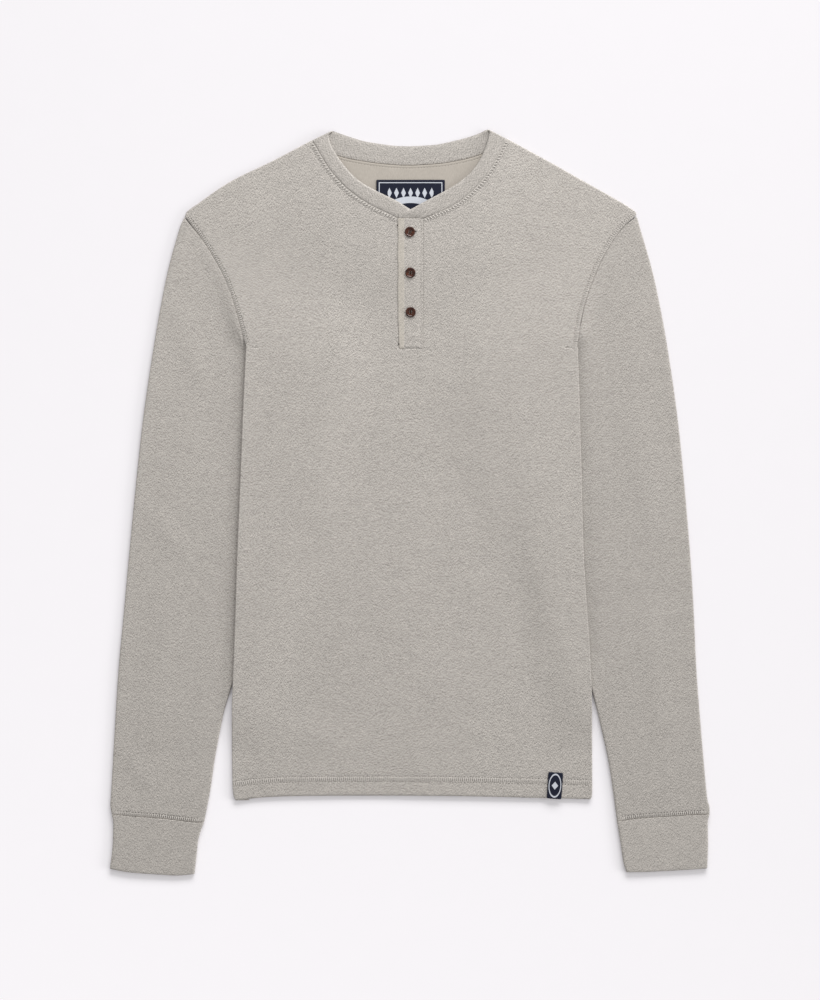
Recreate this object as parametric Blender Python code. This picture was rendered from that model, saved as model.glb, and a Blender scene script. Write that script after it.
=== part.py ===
"""A long-sleeved henley shirt of heather jersey, laid flat on its back with the sleeves down its sides.

Frame: metres, +Z up, the underside on z = 0, +Y towards the neck, +X towards the wearer's left.
Everything below is in millimetres until it becomes a mesh. Each piece of cloth is one skin, its outer
side, which a Solidify modifier thickens inwards into a wall. A side of the shirt is worked out in
(out, y): the distance out from the centre line, and the height up the shirt.
"""
import math

import bmesh
import bpy
from mathutils import Matrix, Vector

MM = 0.001
SIDES = {"right": -1.0, "left": 1.0}     # the wearer's right is on -X

# Cloth: how thick each wall is, and what is left between walls
JERSEY = 1.2            # front, back and sleeves
BAND = 1.6              # the folded neckband
CUFF_WALL = 1.5         # the doubled cuffs
PLACKET_WALL = 1.3      # the strips of the placket and the tape along its edge
FACING_WALL = 1.0       # the back neck facing
LABEL_WALL = 0.9
SEAM = 0.3              # between pieces at a seam, and between a piece and what lies on it
SLACK = 0.5             # inside a flattened tube, between its two walls
TUBE = 2 * JERSEY + SLACK
CUFF_TUBE = 2 * CUFF_WALL + SLACK
FOLD_SWELL = 0.7        # a fold that shows stands this much proud of its tube
SWELL_WIDTH = 9.0

# The sleeves lie under the sides of the body and hold it up
TUCK_LIFT = TUBE + 0.7
TUCK_MARGIN = 10.0      # the lifted part reaches this far past the sleeve under it
BACK_RAMP = 36.0        # the back then comes down to the floor over this length
FRONT_RAMP = 56.0       # and the looser front over this one
ARMPIT_MARGIN = 3.0     # at the armholes both come down more steeply
BACK_ARMPIT_RAMP = 24.0
FRONT_ARMPIT_RAMP = 34.0
TUCK_END = -213.0       # below this height the sleeves are clear of the body
FLAP = 14.0             # how far the front reaches round its folds, to the side seams
SHOULDER_FLAP = 11.0    # and over the shoulders, to the shoulder seams

# Neck: the front lies on the facing, the label and the lower end of the neckband
NECK_CENTRE = (0.0, 318.0)
NECK_RISE = 2.4
NECK_NEAR = 62.0        # full rise within this distance of the neck's centre
NECK_FAR = 132.0        # none beyond this one
NECK_WIDER = 1.25       # the rise is this much wider than it is high

# Placket: a slot down the front, filled by the lower strip and covered by the upper strip and its tape
SLOT = {"right": 10.7, "left": 12.5}
SLOT_FOOT = 161.5
PLACKET = {"right": -12.2, "left": 14.0}
PLACKET_FOOT = 160.9
TAPE_LEFT = -5.7
NECK_SEAM_FOOT = 297.2                   # the neck seam at the placket
BAND_LIFT_END = 32.0                     # the band's upper end rises over the lower one from here
BAND_LIFT_RAMP = 16.0
PLACKET_CLEAR = 14.0                     # no fold comes nearer to the placket than this

BUTTONS = {"top": (0.3, 283.0), "middle": (0.8, 240.2), "bottom": (1.1, 199.0)}
BUTTON_HOLE_RADIUS = 0.75
BUTTON_HOLE_OFFSET = 1.3
BUTTON_PROFILE = (
    # radius, height
    (0.0, 0.0),
    (3.6, 0.0),
    (4.9, 0.7),
    (5.4, 1.4),
    (5.0, 2.1),
    (4.3, 2.2),
    (3.4, 1.6),
    (0.0, 1.4),
)

NECK_LABEL = {"right": -35.0, "left": 37.0, "foot": 302.0, "top": 338.0}
HEM_LABEL = {"x": 152.5, "y": -298.0, "width": 15.6, "height": 27.8, "tilt": math.radians(-4.0)}
FACING_FOOT = 270.0
FACING_OUT = 84.0
FACING_SIDE = 10.0                       # the facing's height at its two ends
FACING_SEAM = (0.1, 0.9)                 # the shares of the back neck seam that it runs between

ARMPIT = SLOT_FOOT                       # the armpits and the placket's foot are level
ARMPIT_OUT = 172.0
UNDERARM = (94.0, 136.0)                 # inner end of each armhole, under the body
TIP_CLEAR = (0.7, -1.3)                  # a sleeve's corner is this far from the shoulder's tip: out, up
ARMHOLE_GAP = 0.45
CUFF_GAP = 0.45
BODY_SIDE = 180.0       # about how far out the body's sides are, where a row's height is read
SIDE_FOLD_TOP = 1.5     # the body's side fold has its full height this far in from its edge
SWELL_FADE = 20.0       # the swell along a side fold fades out over this height, to the armpit
FOLD_FADE = 24.0        # the front's ridges fade out over this width, to the side fold
SLEEVE_FOLD_CLEAR = 6.0                  # a sleeve's ridges start this far outside the body
SLEEVE_FOLD_FADE = 20.0                  # and reach their full height over this width
SLEEVE_SWELL_START = TUCK_END - 12.0     # the inner fold of a sleeve swells below this height

# Outlines of both sides: a height up the shirt, and the distance out on the right and on the left.
BODY_FOLD = (
    # y, right, left
    (-314.5, 181.8, 188.8),
    (-309.0, 184.8, 191.4),
    (-290.0, 186.2, 191.8),
    (-220.0, 186.6, 191.4),
    (-190.0, 185.7, 190.8),
    (-145.0, 184.0, 188.4),
    (-61.0, 181.3, 183.0),
    (54.0, 176.6, 179.8),
    (107.0, 174.5, 178.3),
    (ARMPIT, 171.8, 176.4),
)
SLEEVE_INNER_UNDER_BODY = (
    # y, right, left
    (136.0, 94.0, 94.0),
    (106.0, 96.5, 97.5),
    (64.0, 104.6, 105.6),
    (12.0, 118.3, 119.5),
    (-40.0, 136.1, 137.4),
    (-93.0, 155.0, 156.5),
    (-145.0, 171.8, 175.0),
    (-187.0, 184.7, 188.2),
    (-211.0, 192.3, 194.8),
)
HEM_LINE = (
    # x, y
    (-187.0, -314.3),
    (-152.0, -310.4),
    (-100.0, -308.8),
    (40.0, -309.0),
    (150.0, -311.4),
    (192.0, -312.4),
)

# Curves of each side: distance out from the centre line, height up the shirt.
ARMHOLE = {                              # from the shoulder's tip down to the armpit
    "right": (
        (236.2, 299.6), (218.3, 275.4), (204.7, 253.8),
        (192.6, 230.6), (184.0, 206.0), (177.0, 181.0),
    ),
    "left": (
        (238.0, 300.8), (221.4, 285.3), (204.6, 259.6),
        (193.4, 235.2), (183.7, 207.5), (178.2, 182.0),
    ),
}
ARMHOLE_UNDER_BODY = ((166.0, 148.0), (150.0, 139.5), (122.0, 135.0), UNDERARM)
SHOULDER = {                             # from the neck out to the shoulder's tip
    "right": (
        (102.5, 379.8), (144.5, 357.8), (188.4, 336.3),
        (220.8, 314.3), (233.4, 305.2), (236.2, 299.6),
    ),
    "left": (
        (101.8, 381.6), (150.5, 355.1), (174.7, 341.3),
        (214.6, 318.9), (235.8, 305.8), (238.0, 300.8),
    ),
}
NECK_SEAM = {                            # from the placket round to the shoulder
    "right": ((17.5, 300.3), (43.4, 313.2), (65.5, 328.8), (84.4, 350.1), (98.1, 373.0)),
    "left": ((19.6, 299.6), (45.1, 310.9), (67.4, 328.1), (85.2, 350.1), (97.8, 374.8)),
}
BAND_EDGE = {                            # the neckband's free edge, from its end round to the shoulder
    "right": (
        (-13.0, 300.5), (0.0, 307.4), (14.6, 316.4), (34.8, 326.2),
        (54.9, 338.4), (69.6, 354.0), (81.5, 372.5), (85.0, 384.5),
    ),
    "left": (
        (-12.2, 303.2), (0.0, 306.4), (12.0, 312.8), (28.4, 321.6),
        (47.0, 332.0), (65.4, 346.8), (77.6, 366.5), (83.6, 386.0),
    ),
}
BAND_PEAK = {"right": (81.9, 390.0), "left": (82.6, 391.6)}
SLEEVE_OUTER = {                         # from the cuff up to just under the shoulder's tip
    "right": (
        (312.8, -328.5), (314.4, -318.0), (313.2, -300.0), (306.6, -187.2),
        (301.0, -124.2), (295.2, -61.2), (286.0, 33.3), (278.8, 96.3),
        (269.4, 159.3), (262.2, 201.3), (253.8, 243.3), (242.2, 285.3),
    ),
    "left": (
        (315.0, -328.5), (314.9, -320.0), (311.4, -300.0), (302.0, -187.2),
        (298.9, -124.2), (295.2, -61.2), (287.2, 33.3), (280.5, 96.3),
        (271.3, 159.3), (263.9, 201.3), (254.8, 243.3), (242.8, 285.3),
    ),
}
SLEEVE_INNER_CLEAR = {                   # from the cuff up to where the sleeve goes under the body
    "right": ((215.8, -336.0), (209.4, -303.0), (204.1, -267.0), (196.6, -228.0)),
    "left": ((217.9, -336.0), (213.6, -303.0), (207.8, -267.0), (199.0, -228.0)),
}
CUFF_SEAM = {                            # from the sleeve's inner edge to its outer edge
    "right": ((215.8, -336.0), (224.6, -337.0), (264.9, -332.6), (290.0, -330.8), (312.8, -328.5)),
    "left": ((217.9, -336.0), (240.0, -333.0), (266.3, -331.1), (290.0, -329.6), (315.0, -328.5)),
}
CUFF_INNER = {                           # from the foot up to just under the seam
    "right": ((226.0, -391.0), (223.7, -371.0), (221.6, -352.9)),
    "left": ((227.7, -389.0), (224.5, -378.3), (221.3, -356.8)),
}
CUFF_OUTER = {
    "right": ((314.9, -385.4), (312.1, -363.0), (311.4, -338.0)),
    "left": ((312.6, -385.0), (313.5, -361.0), (313.2, -337.0)),
}
CUFF_FOOT = {
    "right": ((226.0, -391.0), (244.8, -392.5), (264.9, -391.4), (295.0, -389.1), (314.9, -385.4)),
    "left": ((227.7, -389.0), (245.0, -388.8), (266.3, -387.9), (290.0, -386.6), (312.6, -385.0)),
}

# Curves across the whole shirt: x, y.
BACK_BAND_EDGE = (
    (-81.9, 390.0), (-58.4, 381.9), (-41.6, 377.6), (-10.0, 373.6),
    (22.0, 374.6), (39.6, 377.4), (66.2, 384.4), (82.6, 391.6),
)
BACK_NECK_SEAM = (
    (-102.5, 379.8), (-77.3, 364.1), (-44.0, 356.8), (-10.0, 353.4),
    (18.0, 354.0), (46.0, 357.2), (76.6, 365.5), (101.8, 381.6),
)

# Soft ridges pressed into the cloth.
FRONT_FOLDS = (
    # x0, y0, x1, y1, height, half width
    (30.0, 146.0, 62.0, 20.0, 1.5, 13.0),
    (58.0, 30.0, 84.0, -120.0, 0.9, 17.0),
    (-150.0, 190.0, -92.0, 236.0, 0.9, 12.0),
    (152.0, 200.0, 88.0, 250.0, 0.8, 12.0),
    (-96.0, 60.0, -60.0, -190.0, 0.8, 20.0),
    (-140.0, -232.0, -60.0, -262.0, 0.7, 14.0),
)
SLEEVE_FOLDS = {
    "right": (
        (-250.0, 210.0, -212.0, 120.0, 1.3, 12.0),
        (-222.0, 96.0, -262.0, -40.0, 1.2, 14.0),
        (-286.0, 10.0, -232.0, -60.0, 0.9, 10.0),
        (-250.0, -80.0, -272.0, -250.0, 1.2, 15.0),
        (-302.0, -262.0, -262.0, -306.0, 0.9, 9.0),
    ),
    "left": (
        (252.0, 214.0, 222.0, 130.0, 1.1, 12.0),
        (232.0, 104.0, 258.0, -46.0, 1.3, 14.0),
        (282.0, -30.0, 236.0, -92.0, 1.0, 10.0),
        (250.0, -110.0, 268.0, -256.0, 1.1, 15.0),
        (300.0, -270.0, 262.0, -308.0, 0.9, 9.0),
    ),
}

# How finely each piece is divided
SHOULDER_COLUMNS = 5
NECK_COLUMNS = 6
SIDE_COLUMNS = SHOULDER_COLUMNS + NECK_COLUMNS
SLOT_COLUMNS = 2
LOWER_ROWS = 12
HEM_ROWS = (0.0, 0.011, 0.03)            # as shares of the way from the hem to the armpits
ARMPIT_ROWS = (0.91, 0.945, 0.975, 1.0)
UPPER_ROWS = 8
FOLD_STEPS = 4
SLEEVE_COLUMNS = 8
UNDERSIDE_COLUMNS = 3
SLEEVE_ROWS = 17
CUFF_ROWS = 3
BAND_ROWS = 3
END_COLUMNS = 3                          # of the neckband's ends, over the placket
FACING_ROWS = 4
FACING_COLUMNS = 12
BUTTON_SIDES = 20
HOLE_SIDES = 8
HOLE_CUT = 8.0                           # length of the cutters for the button holes

COLOURS = {
    "jersey": ((0.42, 0.40, 0.36, 1.0), 0.95),
    "facing": ((0.52, 0.46, 0.37, 1.0), 0.9),
    "label": ((0.02, 0.03, 0.07, 1.0), 0.8),
    "button": ((0.05, 0.012, 0.008, 1.0), 0.3),
}


# ---------------------------------------------------------------- numbers and curves

def shares(count):
    return [k / count for k in range(count + 1)]


def mixed(a, b, share):
    return a + (b - a) * share


def eased(share):
    """0 to 1 with level ends, for a share of the way."""
    share = min(max(share, 0.0), 1.0)
    return share * share * (3.0 - 2.0 * share)


def column(table, at, index):
    """The value of a table's column where its first column is at, on a smooth line through the rows."""
    rows = sorted(table)
    at = min(max(at, rows[0][0]), rows[-1][0])
    k = max(i for i in range(len(rows) - 1) if rows[i][0] <= at)
    low, high = rows[k], rows[k + 1]
    before, after = rows[max(k - 1, 0)], rows[min(k + 2, len(rows) - 1)]
    span = high[0] - low[0]
    t = (at - low[0]) / span
    slope_low = (high[index] - before[index]) / (high[0] - before[0]) * span
    slope_high = (after[index] - low[index]) / (after[0] - low[0]) * span
    return (
        (2 * t**3 - 3 * t**2 + 1) * low[index]
        + (t**3 - 2 * t**2 + t) * slope_low
        + (3 * t**2 - 2 * t**3) * high[index]
        + (t**3 - t**2) * slope_high
    )


class Curve:
    """A smooth curve through points, read by the share of its length."""

    STEPS = 10

    def __init__(self, points):
        points = [Vector(p) for p in points]
        ends = [2 * points[0] - points[1], *points, 2 * points[-1] - points[-2]]
        self.line = []
        for a, b, c, d in zip(ends, ends[1:], ends[2:], ends[3:]):
            for step in range(self.STEPS):
                t = step / self.STEPS
                bend = (2 * a - 5 * b + 4 * c - d) * t * t + (3 * b - a - 3 * c + d) * t**3
                self.line.append(0.5 * (2 * b + (c - a) * t + bend))
        self.line.append(points[-1])
        self.reach = [0.0]
        for p, q in zip(self.line, self.line[1:]):
            self.reach.append(self.reach[-1] + (q - p).length)

    def at(self, share):
        goal = min(max(share, 0.0), 1.0) * self.reach[-1]
        k = next(i for i in range(len(self.reach) - 1) if self.reach[i + 1] >= goal - 1e-9)
        part = (goal - self.reach[k]) / (self.reach[k + 1] - self.reach[k])
        return self.line[k].lerp(self.line[k + 1], part)

    def along(self, share):
        """The direction of the curve there."""
        return (self.at(share + 0.01) - self.at(share - 0.01)).normalized()

    def moved(self, distance):
        """The same curve, moved to the right of its own direction."""
        found = []
        for share in shares(4 * self.STEPS):
            along = self.along(share)
            found.append(self.at(share) + Vector((along.y, -along.x)) * distance)
        return Curve(found)


def beside(points, distance):
    """The same points, moved to the right of the way they run."""
    found = []
    for before, point, after in zip([points[0], *points], points, [*points[1:], points[-1]]):
        along = (after - before).normalized()
        found.append(point + Vector((along.y, -along.x)) * distance)
    return found


def halved(points):
    """The same points, with one more half-way between each two."""
    found = [p for a, b in zip(points, points[1:]) for p in (a, (a + b) / 2)]
    return [*found, points[-1]]


def patch(foot, top, first, last):
    """Fills the space inside four curves. foot and top run across, first and last run up."""
    corners = (foot(0.0), foot(1.0), top(0.0), top(1.0))

    def point(across, up):
        return (
            foot(across) * (1 - up)
            + top(across) * up
            + first(up) * (1 - across)
            + last(up) * across
            - corners[0] * (1 - across) * (1 - up)
            - corners[1] * across * (1 - up)
            - corners[2] * (1 - across) * up
            - corners[3] * across * up
        )

    return point


# ---------------------------------------------------------------- heights of the cloth

def fold_out(x, y):
    """How far out the body's side fold lies, on the side of x."""
    return column(BODY_FOLD, y, 1 if x < 0 else 2)


def tucked(x, y, ramp, armpit_ramp):
    """How far, from 0 to 1, the sleeve under the body's side holds it up at this place."""
    inner = column(SLEEVE_INNER_UNDER_BODY, y, 1 if x < 0 else 2) - TUCK_MARGIN
    across = eased((abs(x) - inner + ramp) / ramp)
    armhole = mixed(UNDERARM[1], ARMPIT, (abs(x) - UNDERARM[0]) / (ARMPIT_OUT - UNDERARM[0]))
    above = eased((armhole + ARMPIT_MARGIN + armpit_ramp - y) / armpit_ramp)
    below = eased((y - TUCK_END + ramp) / ramp)
    return across * above * below


def back_under(x, y):
    """The height of the back's outer side, which is its underside here."""
    return TUCK_LIFT * tucked(x, y, BACK_RAMP, BACK_ARMPIT_RAMP)


def ridges(x, y, folds):
    """The height that a table of folds adds at this place."""
    height = 0.0
    here = Vector((x, y))
    for x0, y0, x1, y1, rise, half_width in folds:
        start, along = Vector((x0, y0)), Vector((x1 - x0, y1 - y0))
        share = (here - start).dot(along) / along.length_squared
        aside = (here - start - along * share).length
        ends = eased((share + 0.15) / 0.4) * eased((1.15 - share) / 0.4)
        height += rise * math.exp(-((aside / half_width) ** 2)) * ends
    return height


def swell(distance_in):
    return FOLD_SWELL * math.exp(-((distance_in / SWELL_WIDTH) ** 2))


def front_top(x, y):
    """The height of the front's outer side."""
    neck = math.hypot((x - NECK_CENTRE[0]) / NECK_WIDER, y - NECK_CENTRE[1])
    rise = NECK_RISE * eased((NECK_FAR - neck) / (NECK_FAR - NECK_NEAR))
    beside = max(PLACKET["right"] - x, x - PLACKET["left"], PLACKET_FOOT - y)
    folds = ridges(x, y, FRONT_FOLDS) * eased(beside / PLACKET_CLEAR)
    edge = 0.0
    if y <= ARMPIT:
        inside = fold_out(x, y) - abs(x)
        edge = swell(inside) * eased((ARMPIT - y) / SWELL_FADE)
        folds *= eased(inside / FOLD_FADE)
    return TUBE + TUCK_LIFT * tucked(x, y, FRONT_RAMP, FRONT_ARMPIT_RAMP) + rise + folds + edge


def sleeve_top(x, y, side):
    """The height of a sleeve's upper side: flat where the body lies on it, and at the armhole."""
    clear = eased((abs(x) - fold_out(x, y) - SLEEVE_FOLD_CLEAR) / SLEEVE_FOLD_FADE)
    return TUBE + ridges(x, y, SLEEVE_FOLDS[side]) * clear


# ---------------------------------------------------------------- skins and walls

def material(slot, name):
    colour, roughness = COLOURS[slot]
    made = bpy.data.materials.new(f"{slot} of {name}")
    made.use_nodes = True
    shader = made.node_tree.nodes["Principled BSDF"]
    shader.inputs["Base Color"].default_value = colour
    shader.inputs["Roughness"].default_value = roughness
    return made


def add_object(name, skin, slot):
    mesh = bpy.data.meshes.new(name)
    skin.to_mesh(mesh)
    skin.free()
    mesh.materials.append(material(slot, name))
    mesh.shade_smooth()
    mesh.set_sharp_from_angle(angle=math.radians(40))
    made = bpy.data.objects.new(name, mesh)
    bpy.context.scene.collection.objects.link(made)
    return made


def add_wall(name, grids, thickness, slot):
    """One piece of cloth: grids of points on its outer side, joined where they meet, thickened inwards.

    Seen from outside, a grid's points run to the right in each row, and its rows run up.
    """
    skin = bmesh.new()
    for rows in grids:
        made = [[skin.verts.new(Vector(p) * MM) for p in row] for row in rows]
        for low, high in zip(made, made[1:]):
            for a, b, c, d in zip(low, low[1:], high[1:], high):
                skin.faces.new((a, b, c, d))
    bmesh.ops.remove_doubles(skin, verts=skin.verts, dist=0.02 * MM)
    made = add_object(name, skin, slot)
    solidify = made.modifiers.new("wall", "SOLIDIFY")
    solidify.thickness = thickness * MM
    solidify.offset = -1.0
    return made


def worn(rows, side):
    """Rows of (out, y, z), each running out from the centre line, as world points for one side."""
    if side == "left":
        return rows
    return [[(-out, y, z) for out, y, z in reversed(row)] for row in rows]


def fold(top, foot):
    """A fold seen from its end: (distance in from its edge, height), from the upper side to the lower."""
    radius = (top - foot) / 2
    turns = [math.pi * (0.5 - share) for share in shares(FOLD_STEPS)]
    return [(radius * (1 - math.cos(turn)), foot + radius * (1 + math.sin(turn))) for turn in turns]


# ---------------------------------------------------------------- front and back

def body_columns(side, y):
    """Where the body's columns cross this height: from the slot's side out to the top of the side fold."""
    sign = SIDES[side]
    edge = fold_out(sign, y)
    foot = back_under(sign * edge, y)
    radius = (front_top(sign * (edge - SIDE_FOLD_TOP), y) - foot) / 2
    outs = [mixed(SLOT[side], edge - radius, share) for share in shares(SIDE_COLUMNS)]
    return outs, edge, radius, foot


def row_height(share, x):
    """A row's height at x: level at the armpits, and along the hem's line at the foot."""
    return mixed(column(HEM_LINE, x, 1), ARMPIT, share)


def lower_rows():
    """The body's rows from the hem to the armpits, closer together at both ends."""
    between = [mixed(HEM_ROWS[-1], ARMPIT_ROWS[0], share) for share in shares(LOWER_ROWS)][1:-1]
    return [*HEM_ROWS, *between, *ARMPIT_ROWS]


def front_lower_side(side):
    """Rows of one side below the armpit: from the slot's line out, round the fold and in to the side seam."""
    sign = SIDES[side]
    rows = []
    for share in lower_rows():
        outs, edge, radius, foot = body_columns(side, row_height(share, sign * BODY_SIDE))
        row = []
        for out in outs[:-1]:
            y = row_height(share, sign * out)
            row.append((out, y, front_top(sign * out, y)))
        y = row_height(share, sign * edge)
        row += [(edge - inside, y, z) for inside, z in fold(foot + 2 * radius, foot)]
        row.append((edge - FLAP, y, foot))
        rows.append(row)
    return rows


def shoulder_line(side):
    """Points along a shoulder from the neck to its tip: (edge point, direction in from it, fold radius)."""
    edge = Curve(SHOULDER[side])
    down_the_armhole = Curve(ARMHOLE[side]).along(0.0)
    line = []
    for share in shares(SHOULDER_COLUMNS):
        point, along = edge.at(share), edge.along(share)
        square = Vector((along.y, -along.x))
        inward = square.lerp(down_the_armhole, share**4).normalized()
        line.append((point, inward, front_top(SIDES[side] * point.x, point.y) / 2))
    return line


def neck_points(side):
    """Where the front's columns meet the neck seam, from the slot out to the shoulder's fold."""
    point, inward, radius = shoulder_line(side)[0]
    seam = Curve([(SLOT[side], NECK_SEAM_FOOT), *NECK_SEAM[side], point + inward * radius])
    return [seam.at(share) for share in shares(NECK_COLUMNS)]


def front_upper_plan(side):
    """The plan of one side above the armpit, across from the slot (0) to the armhole (1)."""
    shoulder = [point + inward * radius for point, inward, radius in shoulder_line(side)]
    top = [*neck_points(side), *shoulder[1:]]
    outs = body_columns(side, ARMPIT)[0]
    armhole = Curve([(outs[-1], ARMPIT), *reversed(ARMHOLE[side][1:]), shoulder[-1]])
    return patch(
        lambda across: Vector((mixed(outs[0], outs[-1], across), ARMPIT)),
        lambda across: top[round(across * SIDE_COLUMNS)],
        lambda up: Vector((SLOT[side], mixed(ARMPIT, NECK_SEAM_FOOT, up))),
        armhole.at,
    )


def front_upper_side(side):
    plan, sign = front_upper_plan(side), SIDES[side]
    rows = []
    for up in shares(UPPER_ROWS):
        points = [plan(across, up) for across in shares(SIDE_COLUMNS)]
        rows.append([(p.x, p.y, front_top(sign * p.x, p.y)) for p in points])
    return rows


def shoulder_flap(side):
    """Rows that run up over a shoulder's fold and back in under it, to the shoulder seam."""
    line = shoulder_line(side)
    sign = SIDES[side]
    tops = []
    for point, inward, radius in line:
        start = point + inward * radius
        tops.append(front_top(sign * start.x, start.y))
    folds = [fold(top, 0.0) for top in tops]
    rows = []
    for step in range(FOLD_STEPS + 1):
        row = []
        for (point, inward, radius), profile in zip(line, folds):
            inside, z = profile[step]
            place = point + inward * (inside if step else radius)
            row.append((place.x, place.y, z))
        rows.append(row)
    rows.append([(*(point + inward * SHOULDER_FLAP), 0.0) for point, inward, _ in line])
    return rows


def add_front():
    slot_rows = []
    for share in lower_rows():
        row = []
        for across in shares(SLOT_COLUMNS):
            x = mixed(-SLOT["right"], SLOT["left"], across)
            y = row_height(share, x)
            row.append((x, y, front_top(x, y)))
        slot_rows.append(row)
    grids = [slot_rows]
    for side in SIDES:
        grids += [worn(part(side), side) for part in (front_lower_side, front_upper_side, shoulder_flap)]
    add_wall("front", grids, JERSEY, "jersey")


def back_columns(y):
    """World x of the back's columns at this height, from the right side seam to the left one."""
    found = {}
    for side, sign in SIDES.items():
        outs, edge, _, _ = body_columns(side, y)
        found[side] = [sign * out for out in (*outs[:-1], edge - FLAP - SEAM)]
    middle = [mixed(-SLOT["right"], SLOT["left"], s) for s in shares(SLOT_COLUMNS)][1:-1]
    return [*reversed(found["right"]), *middle, *found["left"]]


def back_neck_points():
    """World points along the back neck seam, from the right shoulder to the left."""
    seam = Curve(BACK_NECK_SEAM)
    return [seam.at(share) for share in shares(2 * NECK_COLUMNS + SLOT_COLUMNS)]


def back_top():
    """World points along the back's upper edge: right shoulder seam, neck seam, left shoulder seam."""
    seams = {}
    for side, sign in SIDES.items():
        inset = [point + inward * (SHOULDER_FLAP + SEAM) for point, inward, _ in shoulder_line(side)]
        seams[side] = [Vector((sign * p.x, p.y)) for p in inset]
    neck = beside(back_neck_points(), SEAM)[1:-1]
    return [*reversed(seams["right"]), *neck, *seams["left"]]


def add_back():
    lower = []
    for share in lower_rows():
        columns = back_columns(row_height(share, BODY_SIDE))
        lower.append([(x, row_height(share, x), back_under(x, row_height(share, x))) for x in columns])
    foot = [Vector((x, ARMPIT)) for x in back_columns(ARMPIT)]
    top = back_top()
    count = len(foot) - 1
    sides = {}
    for side, end in (("right", 0), ("left", -1)):
        armhole = [(SIDES[side] * out, y) for out, y in reversed(ARMHOLE[side][1:-1])]
        sides[side] = Curve([foot[end], *armhole, top[end]])
    plan = patch(
        lambda across: foot[round(across * count)],
        lambda across: top[round(across * count)],
        sides["right"].at,
        sides["left"].at,
    )
    upper = []
    for up in shares(UPPER_ROWS):
        points = [plan(across, up) for across in shares(count)]
        upper.append([(p.x, p.y, back_under(p.x, p.y)) for p in points])
    # The back's outer side faces down, so its rows run the other way.
    grids = [[list(reversed(row)) for row in grid] for grid in (lower, upper)]
    add_wall("back", grids, JERSEY, "jersey")


# ---------------------------------------------------------------- sleeves and cuffs

def tube(plan, rows, columns, top_at, swells, side):
    """A flattened tube: rows of points round it, from its upper side over the outer fold and back."""
    found = []
    for up in shares(rows):
        inner, outer = plan(0.0, up), plan(1.0, up)
        width = (outer - inner).length
        row = []

        def height(across):
            place = plan(across, up)
            return top_at(SIDES[side] * place.x, place.y)

        edges = {}
        for name, across in (("inner", 0.0), ("outer", 1.0)):
            top = height(across) + (FOLD_SWELL if swells(name, plan(across, up)) else 0.0)
            edges[name] = fold(top, 0.0)
        first, last = edges["inner"][0][0] / width, 1 - edges["outer"][0][0] / width
        for share in shares(columns):
            across = mixed(first, last, share)
            place = plan(across, up)
            z = height(across)
            for name, inside in (("inner", across * width), ("outer", (1 - across) * width)):
                if swells(name, plan(0.0 if name == "inner" else 1.0, up)):
                    z += swell(inside - edges[name][0][0])
            row.append((place.x, place.y, z))
        for inside, z in edges["outer"][1:]:
            place = plan(1 - inside / width, up)
            row.append((place.x, place.y, z))
        for share in shares(UNDERSIDE_COLUMNS)[1:-1]:
            place = plan(mixed(last, first, share), up)
            row.append((place.x, place.y, 0.0))
        for inside, z in reversed(edges["inner"][1:]):
            place = plan(inside / width, up)
            row.append((place.x, place.y, z))
        row.append(row[0])
        found.append(row)
    return found


def sleeve_plan(side):
    tip = Vector(ARMHOLE[side][0]) + Vector(TIP_CLEAR)
    armhole = Curve([*reversed(ARMHOLE_UNDER_BODY), *reversed(ARMHOLE[side][1:]), tip]).moved(ARMHOLE_GAP)
    index = 1 if side == "right" else 2
    hidden = [(row[index], row[0]) for row in reversed(SLEEVE_INNER_UNDER_BODY[1:])]
    inner = Curve([*SLEEVE_INNER_CLEAR[side], *hidden, armhole.at(0.0)])
    outer = Curve([*SLEEVE_OUTER[side], armhole.at(1.0)])
    return patch(Curve(CUFF_SEAM[side]).at, armhole.at, inner.at, outer.at)


def add_sleeve(side):
    def swells(edge, place):
        return edge == "outer" or place.y < SLEEVE_SWELL_START

    rows = tube(
        sleeve_plan(side),
        SLEEVE_ROWS,
        SLEEVE_COLUMNS,
        lambda x, y: sleeve_top(x, y, side),
        swells,
        side,
    )
    add_wall(f"sleeve_{side}", [worn(rows, side)], JERSEY, "jersey")


def add_cuff(side):
    seam = Curve(CUFF_SEAM[side]).moved(CUFF_GAP)
    inner = Curve([*CUFF_INNER[side], seam.at(0.0)])
    outer = Curve([*CUFF_OUTER[side], seam.at(1.0)])
    plan = patch(Curve(CUFF_FOOT[side]).at, seam.at, inner.at, outer.at)
    rows = tube(plan, CUFF_ROWS, SLEEVE_COLUMNS, lambda x, y: CUFF_TUBE, lambda edge, place: False, side)
    add_wall(f"cuff_{side}", [worn(rows, side)], CUFF_WALL, "jersey")


# ---------------------------------------------------------------- neck

def band_front(side):
    """Stations of the band's front half, from its end at the placket to the shoulder's fold."""
    sign = SIDES[side]
    end = BAND_EDGE[side][0][0]
    outs = [mixed(end, SLOT[side], share) for share in shares(END_COLUMNS)]
    across_slot = [Vector((out, NECK_SEAM_FOOT)) for out in outs]
    seam = beside([*across_slot, *halved(neck_points(side))[1:]], -SEAM)
    edge = Curve([*BAND_EDGE[side], band_peak(side)[1]])
    reach = [0.0]
    for p, q in zip(seam, seam[1:]):
        reach.append(reach[-1] + (q - p).length)
    overlap = BAND + SEAM if side == "left" else 0.0
    stations = []
    for place, run in zip(seam, reach):
        line = []
        for share in shares(BAND_ROWS):
            point = place.lerp(edge.at(run / reach[-1]), share)
            x, y = sign * point.x, point.y
            lifted = overlap * eased((BAND_LIFT_END - x) / BAND_LIFT_RAMP)
            line.append((x, y, front_top(x, y) - JERSEY + BAND + lifted))
        stations.append(line)
    return stations


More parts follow.
